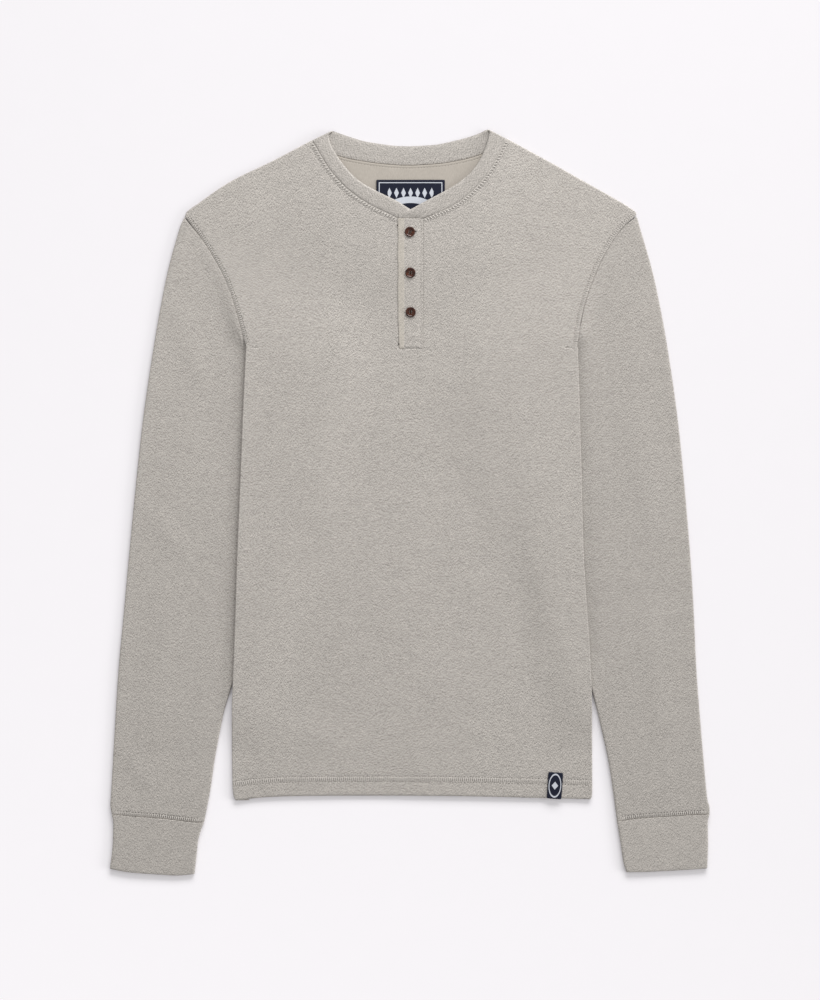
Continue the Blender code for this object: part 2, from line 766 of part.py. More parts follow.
def band_peak(side):
    """The two ends of the band's fold, drawn in to where the fold's top begins, and the way in from it."""
    seam_end, peak = Vector(SHOULDER[side][0]), Vector(BAND_PEAK[side])
    _, inward, _ = shoulder_line(side)[0]
    along = (peak - seam_end).normalized()
    radius = (TUBE - JERSEY + BAND) / 2
    return seam_end + along * SEAM + inward * radius, peak + inward * radius, inward


def band_fold(side, station):
    """The fold at the shoulder: it goes round from the last front station to the floor."""
    sign = SIDES[side]
    low, high, inward = band_peak(side)
    folded = []
    for step in range(1, FOLD_STEPS + 1):
        line = []
        for share, point in zip(shares(BAND_ROWS), station):
            radius = point[2] / 2
            inside, z = fold(point[2], 0.0)[step]
            place = low.lerp(high, share) + inward * (inside - radius)
            line.append((sign * place.x, place.y, z))
        folded.append(line)
    return folded


def add_neckband():
    stations = []
    for side in SIDES:
        front = band_front(side)
        stations.append([*front, *band_fold(side, front[-1])])
    seam = beside(back_neck_points(), -SEAM)
    edge = Curve(BACK_BAND_EDGE)
    back = []
    for share, low in list(zip(shares(len(seam) - 1), seam))[1:-1]:
        high = edge.at(share)
        back.append([(*low.lerp(high, across), 0.0) for across in shares(BAND_ROWS)])
    right, left = stations
    round_the_neck = [*left, *reversed(back), *reversed(right)]
    rows = [[station[k] for station in round_the_neck] for k in range(BAND_ROWS + 1)]
    add_wall("neckband", [rows], BAND, "jersey")


def add_neck_facing():
    """A half moon on the inside of the back, from the neck seam down."""
    top_z = JERSEY + SEAM + FACING_WALL
    neck = Curve(BACK_NECK_SEAM).moved(SEAM)
    rows = []
    for up in shares(FACING_ROWS):
        row = []
        for across in shares(FACING_COLUMNS):
            high = neck.at(mixed(*FACING_SEAM, across))
            arc = math.sqrt(max(1 - (2 * across - 1) ** 2, 0.0))
            low = min(mixed(high.y - FACING_SIDE, FACING_FOOT, arc), high.y - FACING_SIDE)
            x = FACING_OUT * (2 * across - 1)
            row.append((mixed(x, high.x, up), mixed(low, high.y, up), top_z))
        rows.append(row)
    add_wall("neck_facing", [rows], FACING_WALL, "facing")


def add_plate(name, corners, thickness, slot):
    add_wall(name, [[corners[:2], [corners[3], corners[2]]]], thickness, slot)


def add_neck_label():
    z = JERSEY + SEAM + FACING_WALL + SEAM + LABEL_WALL
    right, left, foot, top = (NECK_LABEL[k] for k in ("right", "left", "foot", "top"))
    corners = [(right, foot, z), (left, foot, z), (left, top, z), (right, top, z)]
    add_plate("neck_label", corners, LABEL_WALL, "label")


# ---------------------------------------------------------------- placket, buttons and hem label

def placket_strip(right, left, foot, head, above):
    """A strip that follows the front, this far above its outer side."""
    heights = [mixed(ARMPIT, NECK_SEAM_FOOT, up) for up in shares(UPPER_ROWS)][1:-1]
    rows = []
    for y in (foot, *heights, head):
        rows.append([(x, y, front_top(x, y) + above) for x in (right, (right + left) / 2, left)])
    return rows


def add_placket():
    head = NECK_SEAM_FOOT - SEAM
    lower = placket_strip(-SLOT["right"] + SEAM, SLOT["left"] - SEAM, SLOT_FOOT + SEAM, head, 0.0)
    add_wall("placket_lower", [lower], PLACKET_WALL, "jersey")
    above = SEAM + PLACKET_WALL
    upper = placket_strip(TAPE_LEFT + SEAM, PLACKET["left"], PLACKET_FOOT, head, above)
    add_wall("placket_upper", [upper], PLACKET_WALL, "jersey")
    tape = placket_strip(PLACKET["right"], TAPE_LEFT, PLACKET_FOOT, head, above)
    add_wall("placket_tape", [tape], PLACKET_WALL, "facing")


def turned(profile, sides):
    """A closed solid of revolution about Z through (radius, height) rows that start and end on the axis."""
    skin = bmesh.new()
    rings = []
    for radius, height in profile:
        if radius == 0.0:
            rings.append([skin.verts.new((0.0, 0.0, height * MM))] * sides)
            continue
        ring = []
        for k in range(sides):
            turn = math.tau * k / sides
            place = Vector((radius * math.cos(turn), radius * math.sin(turn), height))
            ring.append(skin.verts.new(place * MM))
        rings.append(ring)
    for low, high in zip(rings, rings[1:]):
        for k in range(sides):
            corners = [low[k], low[(k + 1) % sides], high[(k + 1) % sides], high[k]]
            skin.faces.new(list(dict.fromkeys(corners)))
    return skin


def add_button(name, x, y):
    """A button on the placket's upper strip, sloped as the front is there."""
    reach = BUTTON_PROFILE[1][0]
    slope = math.atan((front_top(x, y + reach) - front_top(x, y - reach)) / (2 * reach))
    z = front_top(x, y) + SEAM + PLACKET_WALL + SEAM
    button = add_object(f"button_{name}", turned(BUTTON_PROFILE, BUTTON_SIDES), "button")
    button.location = Vector((x, y, z)) * MM
    button.rotation_euler.x = slope
    holes = bmesh.new()
    for k in range(4):
        turn = math.tau * (k + 0.5) / 4
        place = Vector((math.cos(turn), math.sin(turn), 0.0)) * BUTTON_HOLE_OFFSET * MM
        bmesh.ops.create_cone(
            holes,
            cap_ends=True,
            segments=HOLE_SIDES,
            radius1=BUTTON_HOLE_RADIUS * MM,
            radius2=BUTTON_HOLE_RADIUS * MM,
            depth=HOLE_CUT * MM,
            matrix=Matrix.Translation(place),
        )
    cutter = add_object(f"button_{name}_holes", holes, "button")
    cutter.parent = button
    cutter.hide_render = True
    cutter.display_type = "WIRE"
    cut = button.modifiers.new("four holes", "BOOLEAN")
    cut.object = cutter
    cut.solver = "EXACT"


def add_hem_label():
    """A small tab on the front at the hem, a little tilted."""
    turn = Matrix.Rotation(HEM_LABEL["tilt"], 2)
    centre = Vector((HEM_LABEL["x"], HEM_LABEL["y"]))
    z = front_top(*centre) + SEAM + LABEL_WALL
    corners = []
    for across, up in ((-0.5, -0.5), (0.5, -0.5), (0.5, 0.5), (-0.5, 0.5)):
        place = centre + turn @ Vector((across * HEM_LABEL["width"], up * HEM_LABEL["height"]))
        corners.append((place.x, place.y, z))
    add_plate("hem_label", corners, LABEL_WALL, "label")


def main():
    for leftover in list(bpy.data.objects):
        bpy.data.objects.remove(leftover)
    add_front()
    add_back()
    for side in SIDES:
        add_sleeve(side)
        add_cuff(side)
    add_neckband()
    add_neck_facing()
    add_neck_label()
    add_placket()
    for name, (x, y) in BUTTONS.items():
        add_button(name, x, y)
    add_hem_label()


main()
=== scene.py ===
"""The looks of a long-sleeved henley shirt of heather jersey, laid flat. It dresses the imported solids.

Frame: metres, +Z up, the underside on z = 0, +Y towards the neck, +X towards the wearer's left.
Everything is worked out in millimetres until it becomes a mesh. A side of the shirt is worked out in
(out, y): the distance out from the centre line, and the height up the shirt. Points are numpy arrays
whose last axis is x, y or x, y, z.
"""

import math

import bmesh
import bpy
import numpy as np
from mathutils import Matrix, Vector


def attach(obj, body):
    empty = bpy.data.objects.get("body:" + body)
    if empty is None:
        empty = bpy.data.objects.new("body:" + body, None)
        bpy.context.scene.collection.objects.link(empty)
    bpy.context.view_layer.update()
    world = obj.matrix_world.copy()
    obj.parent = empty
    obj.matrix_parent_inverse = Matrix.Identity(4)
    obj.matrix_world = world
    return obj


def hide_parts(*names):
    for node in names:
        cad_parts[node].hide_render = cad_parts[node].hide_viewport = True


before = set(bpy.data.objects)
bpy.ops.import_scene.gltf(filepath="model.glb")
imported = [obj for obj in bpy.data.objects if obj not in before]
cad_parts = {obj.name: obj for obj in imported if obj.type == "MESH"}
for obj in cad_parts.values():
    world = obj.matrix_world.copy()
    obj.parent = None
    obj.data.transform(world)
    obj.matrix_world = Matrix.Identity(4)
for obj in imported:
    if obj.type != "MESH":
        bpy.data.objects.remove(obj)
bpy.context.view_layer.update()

MM = 0.001
SIDES = {"right": -1.0, "left": 1.0}

# ---- the same sizes as the solids
JERSEY = 1.2
BAND = 1.6
CUFF_WALL = 1.5
PLACKET_WALL = 1.3
FACING_WALL = 1
LABEL_WALL = 0.9
SEAM = 0.3
SLACK = 0.5
TUBE = 2 * JERSEY + SLACK
CUFF_TUBE = 2 * CUFF_WALL + SLACK
FOLD_SWELL = 0.25
SWELL_WIDTH = 9
TUCK_LIFT = TUBE + 0.7
TUCK_MARGIN = 10
BACK_RAMP, FRONT_RAMP = 36, 56
ARMPIT_MARGIN = 3
BACK_ARMPIT_RAMP, FRONT_ARMPIT_RAMP = 24, 104
TUCK_END = -213
FLAP = 14
SHOULDER_FLAP = 11
NECK_CENTRE = (0, 318)
NECK_RISE = 2.4
NECK_NEAR, NECK_FAR = 62, 132
NECK_WIDER = 1.25
SLOT = {"right": 10.7, "left": 12.5}
PLACKET = {"right": -12.2, "left": 14.0}
PLACKET_FOOT = 160.9
TAPE_LEFT = -5.7
NECK_SEAM_FOOT = 297.2
BAND_LIFT_END, BAND_LIFT_RAMP = 32, 16
PLACKET_CLEAR = 14
BUTTONS = {"top": (0.3, 283), "middle": (0.8, 240.2), "bottom": (1.1, 199)}
NECK_LABEL = {"right": -35, "left": 37, "foot": 302, "top": 338.0}
HEM_LABEL = {"x": 152.5, "y": -298, "width": 15.6, "height": 27.8, "tilt": math.radians(-4)}
FACING_FOOT, FACING_OUT, FACING_SIDE = 270, 84, 10
ARMPIT = 161.5
ARMPIT_OUT = 172
ARMHOLE_END = {"right": ARMPIT_OUT, "left": ARMPIT_OUT + 4.4}
UNDERARM = (94, 136)
LEVEL_OUT = 180                        # the side folds' rows take their heights from here
TIP_CLEAR = (0.7, -1.3)
NECK_SHARE = 6 / 11                      # share of a side's columns that end at the neck seam

BODY_FOLD = (
    # y, right, left
    (-314.5, 181.8, 188.8),
    (-309, 184.8, 191.4),
    (-290, 186.2, 191.8),
    (-220, 186.6, 191.4),
    (-190, 185.7, 190.8),
    (-145, 184, 188.4),
    (-61, 181.3, 183),
    (54, 176.6, 179.8),
    (107, 174.5, 178.3),
    (ARMPIT, 171.8, 176.4),
)
SLEEVE_INNER_UNDER_BODY = (
    # y, right, left
    (136, 94, 94),
    (106, 96.5, 97.5),
    (64, 104.6, 105.6),
    (12, 118.3, 119.5),
    (-40, 136.1, 137.4),
    (-93, 155, 156.5),
    (-145, 171.8, 175),
    (-187, 184.7, 188.2),
    (-211, 192.3, 194.8),
)
HEM_LINE = (
    # x, y
    (-187, -314.3),
    (-152, -310.4),
    (-100, -308.8),
    (40, -309),
    (150, -311.4),
    (192, -312.4),
)
ARMHOLE = {
    "right": ((236.2, 299.6), (218.3, 275.4), (204.7, 253.8), (192.6, 230.6), (184, 206), (177, 181)),
    "left": ((238, 300.8), (221.4, 285.3), (204.6, 259.6), (193.4, 235.2), (183.7, 207.5), (178.2, 182)),
}
ARMHOLE_UNDER_BODY = ((166, 148), (150, 139.5), (122, 135), UNDERARM)
SHOULDER = {
    "right": ((102.5, 379.8), (144.5, 357.8), (188.4, 336.3), (220.8, 314.3), (233.4, 305.2), (236.2, 299.6)),
    "left": ((101.8, 381.6), (150.5, 355.1), (174.7, 341.3), (214.6, 318.9), (235.8, 305.8), (238, 300.8)),
}
NECK_SEAM = {
    "right": ((17.5, 300.3), (43.4, 313.2), (65.5, 328.8), (84.4, 350.1), (98.1, 373)),
    "left": ((19.6, 299.6), (45.1, 310.9), (67.4, 328.1), (85.2, 350.1), (97.8, 374.8)),
}
BAND_EDGE = {
    "right": (
        (-13, 300.5), (0, 307.4), (14.6, 316.4), (34.8, 326.2),
        (54.9, 338.4), (69.6, 354), (81.5, 372.5), (85, 384.5),
    ),
    "left": (
        (-12.2, 303.2), (0, 306.4), (12, 312.8), (28.4, 321.6),
        (47, 332), (65.4, 346.8), (77.6, 366.5), (83.6, 386),
    ),
}
BAND_PEAK = {"right": (81.9, 390), "left": (82.6, 391.6)}
SLEEVE_OUTER = {
    "right": (
        (312.8, -328.5), (314.4, -318), (313.2, -300), (306.6, -187.2), (301, -124.2), (295.2, -61.2),
        (286, 33.3), (278.8, 96.3), (269.4, 159.3), (262.2, 201.3), (253.8, 243.3), (242.2, 285.3),
    ),
    "left": (
        (315, -328.5), (314.9, -320), (311.4, -300), (302, -187.2), (298.9, -124.2), (295.2, -61.2),
        (287.2, 33.3), (280.5, 96.3), (271.3, 159.3), (263.9, 201.3), (254.8, 243.3), (242.8, 285.3),
    ),
}
SLEEVE_INNER_CLEAR = {
    "right": ((215.8, -336), (209.4, -303), (204.1, -267), (196.6, -228)),
    "left": ((217.9, -336), (213.6, -303), (207.8, -267), (199, -228)),
}
CUFF_SEAM = {
    "right": ((215.8, -336), (224.6, -337), (264.9, -332.6), (290, -330.8), (312.8, -328.5)),
    "left": ((217.9, -336), (240, -333), (266.3, -331.1), (290, -329.6), (315, -328.5)),
}
CUFF_INNER = {
    "right": ((226, -391), (223.7, -371), (221.6, -352.9)),
    "left": ((227.7, -389), (224.5, -378.3), (221.3, -356.8)),
}
CUFF_OUTER = {
    "right": ((314.9, -385.4), (312.1, -363), (311.4, -338)),
    "left": ((312.6, -385), (313.5, -361), (313.2, -337)),
}
CUFF_FOOT = {
    "right": ((226, -391), (244.8, -392.5), (264.9, -391.4), (295, -389.1), (314.9, -385.4)),
    "left": ((227.7, -389), (245, -388.8), (266.3, -387.9), (290, -386.6), (312.6, -385)),
}
BACK_BAND_EDGE = (
    (-81.9, 390), (-58.4, 381.9), (-41.6, 377.6), (-10, 373.6),
    (22, 374.6), (39.6, 377.4), (66.2, 384.4), (82.6, 391.6),
)
BACK_NECK_SEAM = (
    (-102.5, 379.8), (-77.3, 364.1), (-44, 356.8), (-10, 353.4),
    (18, 354), (46, 357.2), (76.6, 365.5), (101.8, 381.6),
)
FRONT_FOLDS = (
    # x0, y0, x1, y1, height, half width
    (30, 146, 62, 20, 0.7, 15),
    (88, 110, 127, -150, -1.2, 17),
    (-96, 60, -60, -190, 0.35, 20),
    (-140, -232, -60, -262, 0.7, 14),
)
SLEEVE_FOLDS = {
    "right": (
        (-250, 210, -212, 120, 0.7, 12),
        (-222, 96, -262, -40, 0.6, 14),
        (-286, 10, -232, -60, 0.5, 10),
        (-250, -80, -272, -250, 0.6, 15),
        (-302, -262, -262, -306, 0.5, 9),
    ),
    "left": (
        (252, 214, 222, 130, 0.6, 12),
        (232, 104, 258, -46, 0.7, 14),
        (282, -30, 236, -92, 0.5, 10),
        (250, -110, 268, -256, 0.6, 15),
        (300, -270, 262, -308, 0.5, 9),
    ),
}

# ---- what only shows close up: the way the cloth dips and puffs beside its seams, and the sewing
SEAM_RELIEF = {
    # ditch depth, its width, height of the strip beside it, strip from, strip to, groove depth
    "neck": (0.26, 0.60, 0.03, 0.8, 4.9, 0.14),
    "armhole": (0.62, 0.60, 0.03, 0.8, 4.2, 0.08),
    "cuff": (0.45, 0.60, 0.04, 0.8, 4.7, 0.12),
}
DITCH_ON = {                             # a seam dips on the side that its allowance is pressed away from
    "armhole": {"right": (1.0, 0.0), "left": (0.0, 1.0)},
    "neck": (0.0, 1.3),
    "cuff": (1.2, 0.0),
}
FOLD_PRESSED = 0.55                      # the front's side folds are pressed sharper than half round
BESIDE_BODY = {                          # a sleeve is pressed down beside the body: how far, over what width
    "right": ((0.45, 4.0), (0.5, 10.0)),
    "left": ((1.1, 2.8), (0.65, 8.0)),
}
SEWN_LAP = 0.05                          # sewn pieces run this far into each other
GROOVE, GROOVE_WIDTH = 0.16, 0.6         # the dip of a lone row of stitches
HEM_ROWS = (14.6, 20.4)                  # heights of the hem's rows above its edge
HEM_SEWN = (-183.0, 188.0)               # where the front's rows start and end
EDGE_ROLL, EDGE_ROLL_WIDTH = 0.55, 1.8   # a folded edge is rounded
STITCH_PITCH, STITCH_LENGTH, STITCH_RADIUS = 3.1, 2.2, 0.26
LADDER_PITCH = 2.1
RUNG_SHARE, GAP_SHADE_SHARE = 0.17, 0.16       # a coverstitch's threads and the dark beads of painted shade between them: radius per pitch
HOLE_SHADE_LENGTH, HOLE_SHADE_WIDTH = 1.7, 1.0       # the dark mark of a needle hole, painted shade
RIDGE_OVER, RIDGE_TAPER = 0.15, 0.4      # a ridge runs on past its ends, and fades out there
SWELL_RAMP, FOLDS_CLEAR = 20.0, 24.0     # where the side folds' swell starts, and how far folds stay off them
STRIP_RAMP = 0.9                         # how softly the strip beside a seam starts and ends
HEM_RISE, HEM_RISE_RAMP = 0.12, 1.5      # the hem is turned up, so it stands higher
SLEEVE_CLEAR, SLEEVE_CLEAR_RAMP = 6.0, 20.0   # how far a sleeve's folds stay off the body
SLEEVE_LIE, CUFF_LIE = 0.7, 0.5          # a sleeve and a cuff lie smoother than the front
MEETS_WIDTH, MEETS_RAMP = 10.0, 9.0      # a sleeve comes up to the front's height at the armhole
ARMHOLE_DITCH_RAMP = 4.0                 # its ditch starts this softly above the armpit
PRESSED_RAMP = 10.0                      # a sleeve is pressed down from here below the armpit,
HIDDEN_LEAST, HIDDEN_RAMP = 4.0, 8.0     # where at least this much of it is hidden under the body
WELD = 0.02                              # points of two grids this near to each other become one
COARSE, FINE = 4.0, 0.7                  # grid spacing in the open and at a seam
FINE_ROWS = 9                            # rows of the fine spacing beside a seam
FOLD_STEPS = 10


# ---------------------------------------------------------------- numbers and curves

def mixed(a, b, share):
    return a + (b - a) * share


def eased(share):
    share = np.clip(share, 0.0, 1.0)
    return share * share * (3.0 - 2.0 * share)


def bell(distance, width):
    return np.exp(-((distance / width) ** 2))


def joined(*parts):
    """An array whose last axis holds the parts."""
    return np.stack(np.broadcast_arrays(*parts), axis=-1)


def raised(plan, z):
    """Plan points with their heights."""
    return np.concatenate([plan, np.broadcast_to(z, plan.shape[:-1])[..., None]], axis=-1)


def lengths(line):
    """How far along a line of points each of them is."""
    return np.concatenate([[0.0], np.cumsum(np.linalg.norm(np.diff(line, axis=0), axis=1))])


def column(table, at, index):
    """The value of a table's column where its first column is at, on a smooth line through the rows."""
    rows = np.array(sorted(table))
    keys, values = rows[:, 0], rows[:, index]
    at = np.clip(at, keys[0], keys[-1])
    k = np.clip(np.searchsorted(keys, at, side="right") - 1, 0, len(keys) - 2)
    before, after = np.maximum(k - 1, 0), np.minimum(k + 2, len(keys) - 1)
    span = keys[k + 1] - keys[k]
    t = (at - keys[k]) / span
    slope_low = (values[k + 1] - values[before]) / (keys[k + 1] - keys[before]) * span
    slope_high = (values[after] - values[k]) / (keys[after] - keys[k]) * span
    return (
        (2 * t**3 - 3 * t**2 + 1) * values[k]
        + (t**3 - 2 * t**2 + t) * slope_low
        + (3 * t**2 - 2 * t**3) * values[k + 1]
        + (t**3 - t**2) * slope_high
    )


def on_side(table, x, y):
    """The value at the height y in a table's column for the side of x."""
    return np.where(x < 0, column(table, y, 1), column(table, y, 2))


class Curve:
    """A smooth curve through points, read by the share of its length."""

    STEPS = 12

    def __init__(self, points):
        p = np.array([tuple(q) for q in points], dtype=float)
        ends = np.vstack([2 * p[0] - p[1], p, 2 * p[-1] - p[-2]])
        line = []
        for a, b, c, d in zip(ends, ends[1:], ends[2:], ends[3:]):
            t = np.arange(self.STEPS)[:, None] / self.STEPS
            bend = (2 * a - 5 * b + 4 * c - d) * t * t + (3 * b - a - 3 * c + d) * t**3
            line.append(0.5 * (2 * b + (c - a) * t + bend))
        self.line = np.vstack([*line, p[-1:]])
        self.reach = lengths(self.line)
        self.length = self.reach[-1]

    def at(self, share):
        goal = np.clip(share, 0.0, 1.0) * self.length
        return joined(*[np.interp(goal, self.reach, axis) for axis in self.line.T])

    def along(self, share):
        step = self.at(np.asarray(share) + 0.004) - self.at(np.asarray(share) - 0.004)
        return step / np.linalg.norm(step, axis=-1, keepdims=True)

    def beside(self, share, distance):
        """The point there, moved to the right of the curve's direction."""
        along = self.along(share)
        return self.at(share) + joined(along[..., 1], -along[..., 0]) * distance

    def moved(self, distance):
        return Curve(self.beside(np.linspace(0.0, 1.0, 60), distance))


def nearest(points, line):
    """The distance of points (..., 2) to a polyline."""
    flat = points.reshape(-1, 2)
    best = np.full(len(flat), np.inf)
    for a, b in zip(line, line[1:]):
        d = b - a
        length = math.hypot(*d)
        t = np.clip(((flat - a) @ d) / (length * length), 0.0, 1.0)
        best = np.minimum(best, np.linalg.norm(flat - a - t[:, None] * d, axis=1))
    return best.reshape(points.shape[:-1])


def spaced(length, first=COARSE, last=COARSE, middle=COARSE, growth=1.35, held=1):
    """Shares of a length: steps of about middle, finer towards an end that asks for it."""
    def run_in(step):
        steps = [step] * (held - 1) if step < middle else []
        while step < middle:
            steps.append(step)
            step *= growth
        return steps

    head, tail = run_in(first), run_in(last)
    left = max(length - sum(head) - sum(tail), middle)
    count = max(round(left / middle), 1)
    steps = np.array([*head, *[left / count] * count, *reversed(tail)])
    reach = np.concatenate([[0.0], np.cumsum(steps)])
    return reach / reach[-1]


def patch(foot, top, first, last, across, up):
    """Points (up, across) inside four curves. foot and top run across, first and last run up."""
    s, t = across[None, :, None], up[:, None, None]
    foot, top, first, last = foot[None], top[None], first[:, None], last[:, None]
    return (
        foot * (1 - t) + top * t + first * (1 - s) + last * s
        - foot[:, :1] * (1 - s) * (1 - t) - foot[:, -1:] * s * (1 - t)
        - top[:, :1] * (1 - s) * t - top[:, -1:] * s * t
    )


# ---------------------------------------------------------------- heights of the cloth

def fold_out(x, y):
    return on_side(BODY_FOLD, x, y)


def tucked(x, y, ramp, armpit_ramp):
    """How far, from 0 to 1, the sleeve under the body's side holds it up at this place."""
    across = eased((np.abs(x) - on_side(SLEEVE_INNER_UNDER_BODY, x, y) + TUCK_MARGIN + ramp) / ramp)
    armhole = mixed(UNDERARM[1], ARMPIT, (np.abs(x) - UNDERARM[0]) / (ARMPIT_OUT - UNDERARM[0]))
    above = eased((armhole + ARMPIT_MARGIN + armpit_ramp - y) / armpit_ramp)
    below = eased((y - TUCK_END + ramp) / ramp)
    return across * above * below


def back_under(x, y):
    return TUCK_LIFT * tucked(x, y, BACK_RAMP, BACK_ARMPIT_RAMP)


def ridges(x, y, folds):
    height = np.zeros(np.shape(x))
    for x0, y0, x1, y1, rise, half_width in folds:
        dx, dy = x1 - x0, y1 - y0
        share = ((x - x0) * dx + (y - y0) * dy) / (dx * dx + dy * dy)
        aside = np.hypot(x - x0 - dx * share, y - y0 - dy * share)
        ends = [eased((inside + RIDGE_OVER) / RIDGE_TAPER) for inside in (share, 1 - share)]
        height = height + rise * bell(aside, half_width) * ends[0] * ends[1]
    return height


WAVES = (
    # turn per mm along x and y, height
    (0.031, 0.011, 0.16), (-0.012, 0.027, 0.18), (0.019, -0.042, 0.10), (0.055, 0.038, 0.06),
)


def lie(x, y, seed):
    """The slight unevenness of cloth that was smoothed by hand, in mm."""
    return sum(h * np.sin(a * x + b * y + seed * (3.1 + k)) for k, (a, b, h) in enumerate(WAVES))


def front_plain(x, y):
    """The height of the front's outer side, before its seams."""
    neck = np.hypot((x - NECK_CENTRE[0]) / NECK_WIDER, y - NECK_CENTRE[1])
    rise = NECK_RISE * eased((NECK_FAR - neck) / (NECK_FAR - NECK_NEAR))
    beside = np.maximum(np.maximum(PLACKET["right"] - x, x - PLACKET["left"]), PLACKET_FOOT - y)
    clear = eased(beside / PLACKET_CLEAR)
    folds = (ridges(x, y, FRONT_FOLDS) + lie(x, y, 1.0)) * clear
    inside = fold_out(x, y) - np.abs(x)
    low = y <= ARMPIT
    edge = np.where(low, FOLD_SWELL * bell(inside, SWELL_WIDTH) * eased((ARMPIT - y) / SWELL_RAMP), 0.0)
    folds = np.where(low, folds * eased(inside / FOLDS_CLEAR), folds)
    return TUBE + TUCK_LIFT * tucked(x, y, FRONT_RAMP, FRONT_ARMPIT_RAMP) + rise + folds + edge


def ditch(d, kind):
    depth, width = SEAM_RELIEF[kind][:2]
    return -depth * bell(d, width)


def beside_seam(d, kind, share):
    """The relief of cloth beside its seam: a ditch, then a raised strip that ends in a row of stitches."""
    rise, start, end, groove = SEAM_RELIEF[kind][2:]
    strip = eased((d - start) / STRIP_RAMP) * eased((end - d) / STRIP_RAMP)
    return share * ditch(d, kind) + rise * strip - groove * bell(d - end, GROOVE_WIDTH)


def hem_height(x, y):
    return y - column(HEM_LINE, x, 1)


def neck_curve(side, end=None, start=0.0):
    """The front neck seam, from the slot's edge up to its end at the shoulder."""
    end = SHOULDER[side][0] if end is None else end
    return Curve([(SLOT[side] + start, NECK_SEAM_FOOT), *NECK_SEAM[side], end])


def armhole_curve(side):
    return Curve([*ARMHOLE[side], (ARMHOLE_END[side], ARMPIT)])


def front_top(x, y):
    """The height of the front's outer side, with what its sewing does to it."""
    height = front_plain(x, y)
    points = joined(np.abs(x), y)
    for side, sign in SIDES.items():
        here = np.asarray(x) * sign > 0
        neck = nearest(points, neck_curve(side).line)
        arm = nearest(points, armhole_curve(side).line)
        relief = beside_seam(neck, "neck", DITCH_ON["neck"][0])
        relief = relief + beside_seam(arm, "armhole", DITCH_ON["armhole"][side][0])
        height = np.where(here, height + relief, height)
    above = hem_height(x, y)
    for row in HEM_ROWS:
        height = height - GROOVE * bell(above - row, GROOVE_WIDTH)
    height = height + HEM_RISE * eased((HEM_ROWS[1] - above) / HEM_RISE_RAMP)
    return height - EDGE_ROLL * eased(1 - above / EDGE_ROLL_WIDTH) ** 2


# ---------------------------------------------------------------- meshes

def lay_grain(mesh, grain):
    """Keeps where each vertex lies in the cloth, in metres, for the materials."""
    layer = mesh.attributes.new("grain", "FLOAT_VECTOR", "POINT")
    layer.data.foreach_set("vector", (grain * MM).astype(np.float32).ravel())


def placed(name, data):
    made = bpy.data.objects.new(name, data)
    bpy.context.scene.collection.objects.link(made)
    return made


def finish_mesh(name, mesh, material, grain=None):
    made = placed(name, mesh)
    mesh.materials.append(material)
    mesh.polygons.foreach_set("use_smooth", np.ones(len(mesh.polygons), dtype=bool))
    if grain is not None:
        co = np.empty(len(mesh.vertices) * 3)
        mesh.vertices.foreach_get("co", co)
        lay_grain(mesh, grain(co.reshape(-1, 3) / MM))
    return made


def cloth(node, grids, thickness, material, grain, slot, flat, **cut):
    """A sheet that stands for a node: grids of points on its outer side, joined, with their wall inwards.

    Seen from outside, a grid's points run to the right in each row, and its rows run up.
    """
    name = f"{node}_cloth"
    points, faces, start = [], [], 0
    for grid in grids:
        rows, columns = grid.shape[:2]
        points.append(grid.reshape(-1, 3))
        index = start + np.arange(rows * columns).reshape(rows, columns)
        quads = np.stack([index[:-1, :-1], index[:-1, 1:], index[1:, 1:], index[1:, :-1]], axis=-1)
        faces.append(quads.reshape(-1, 4))
        start += rows * columns
    mesh = bpy.data.meshes.new(name)
    mesh.from_pydata((np.vstack(points) * MM).tolist(), [], np.vstack(faces).tolist())
    if not callable(grain):
        lay_grain(mesh, np.vstack([part.reshape(-1, 3) for part in grain]))
    work = bmesh.new()
    work.from_mesh(mesh)
    bmesh.ops.remove_doubles(work, verts=work.verts, dist=WELD * MM)
    work.to_mesh(mesh)
    work.free()
    made = finish_mesh(name, mesh, material, grain if callable(grain) else None)
    wall = made.modifiers.new("wall", "SOLIDIFY")
    wall.thickness = thickness * MM
    wall.offset = -1.0
    dress(made, slot, node)


def dress(piece, slot, *nodes):
    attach(piece, "root")
    if nodes:
        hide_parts(*nodes)


def worn(grid, side):
    """A grid of (out, y, z), whose rows run out from the centre line, as world points for one side."""
    if side == "left":
        return grid
    return grid[:, ::-1] * np.array([-1.0, 1.0, 1.0])


def fold(top, foot):
    """A fold seen from its end: distance in from its edge, and height, from the upper side down."""
    radius = (top - foot) / 2
    turn = math.pi * (0.5 - np.linspace(0.0, 1.0, FOLD_STEPS + 1))
    radius = np.asarray(radius)[..., None]
    return radius * (1 - np.cos(turn)), np.asarray(foot)[..., None] + radius * (1 + np.sin(turn))


def narrowed(inside, radius):
    """A fold's distances in from its edge, with their last ones made the radius."""
    return inside * (radius / inside[:, -1])[:, None]


# ---------------------------------------------------------------- front and back

# Lengths that the grids' spacing goes by.
SIDE_LENGTH, NECK_LENGTH, SHOULDER_LENGTH, UPPER_LENGTH = 473.0, 125.0, 152.0, 165.0
HEM_ROWS_AT = (                          # heights of the grids' lowest rows over the hem
    0.0, 0.5, 1.1, 1.9, 3.0, 5.0, 8.0, 11.0, 13.2, 14.1, 14.6, 15.1, 16.0, 17.5, 19.0, 19.9, 20.4, 20.9, 21.8,
)


def side_shares():
    neck = spaced(NECK_LENGTH, COARSE, 1.2) * NECK_SHARE
    shoulder = mixed(NECK_SHARE, 1.0, spaced(SHOULDER_LENGTH, 1.2, FINE, held=FINE_ROWS))
    return neck, shoulder


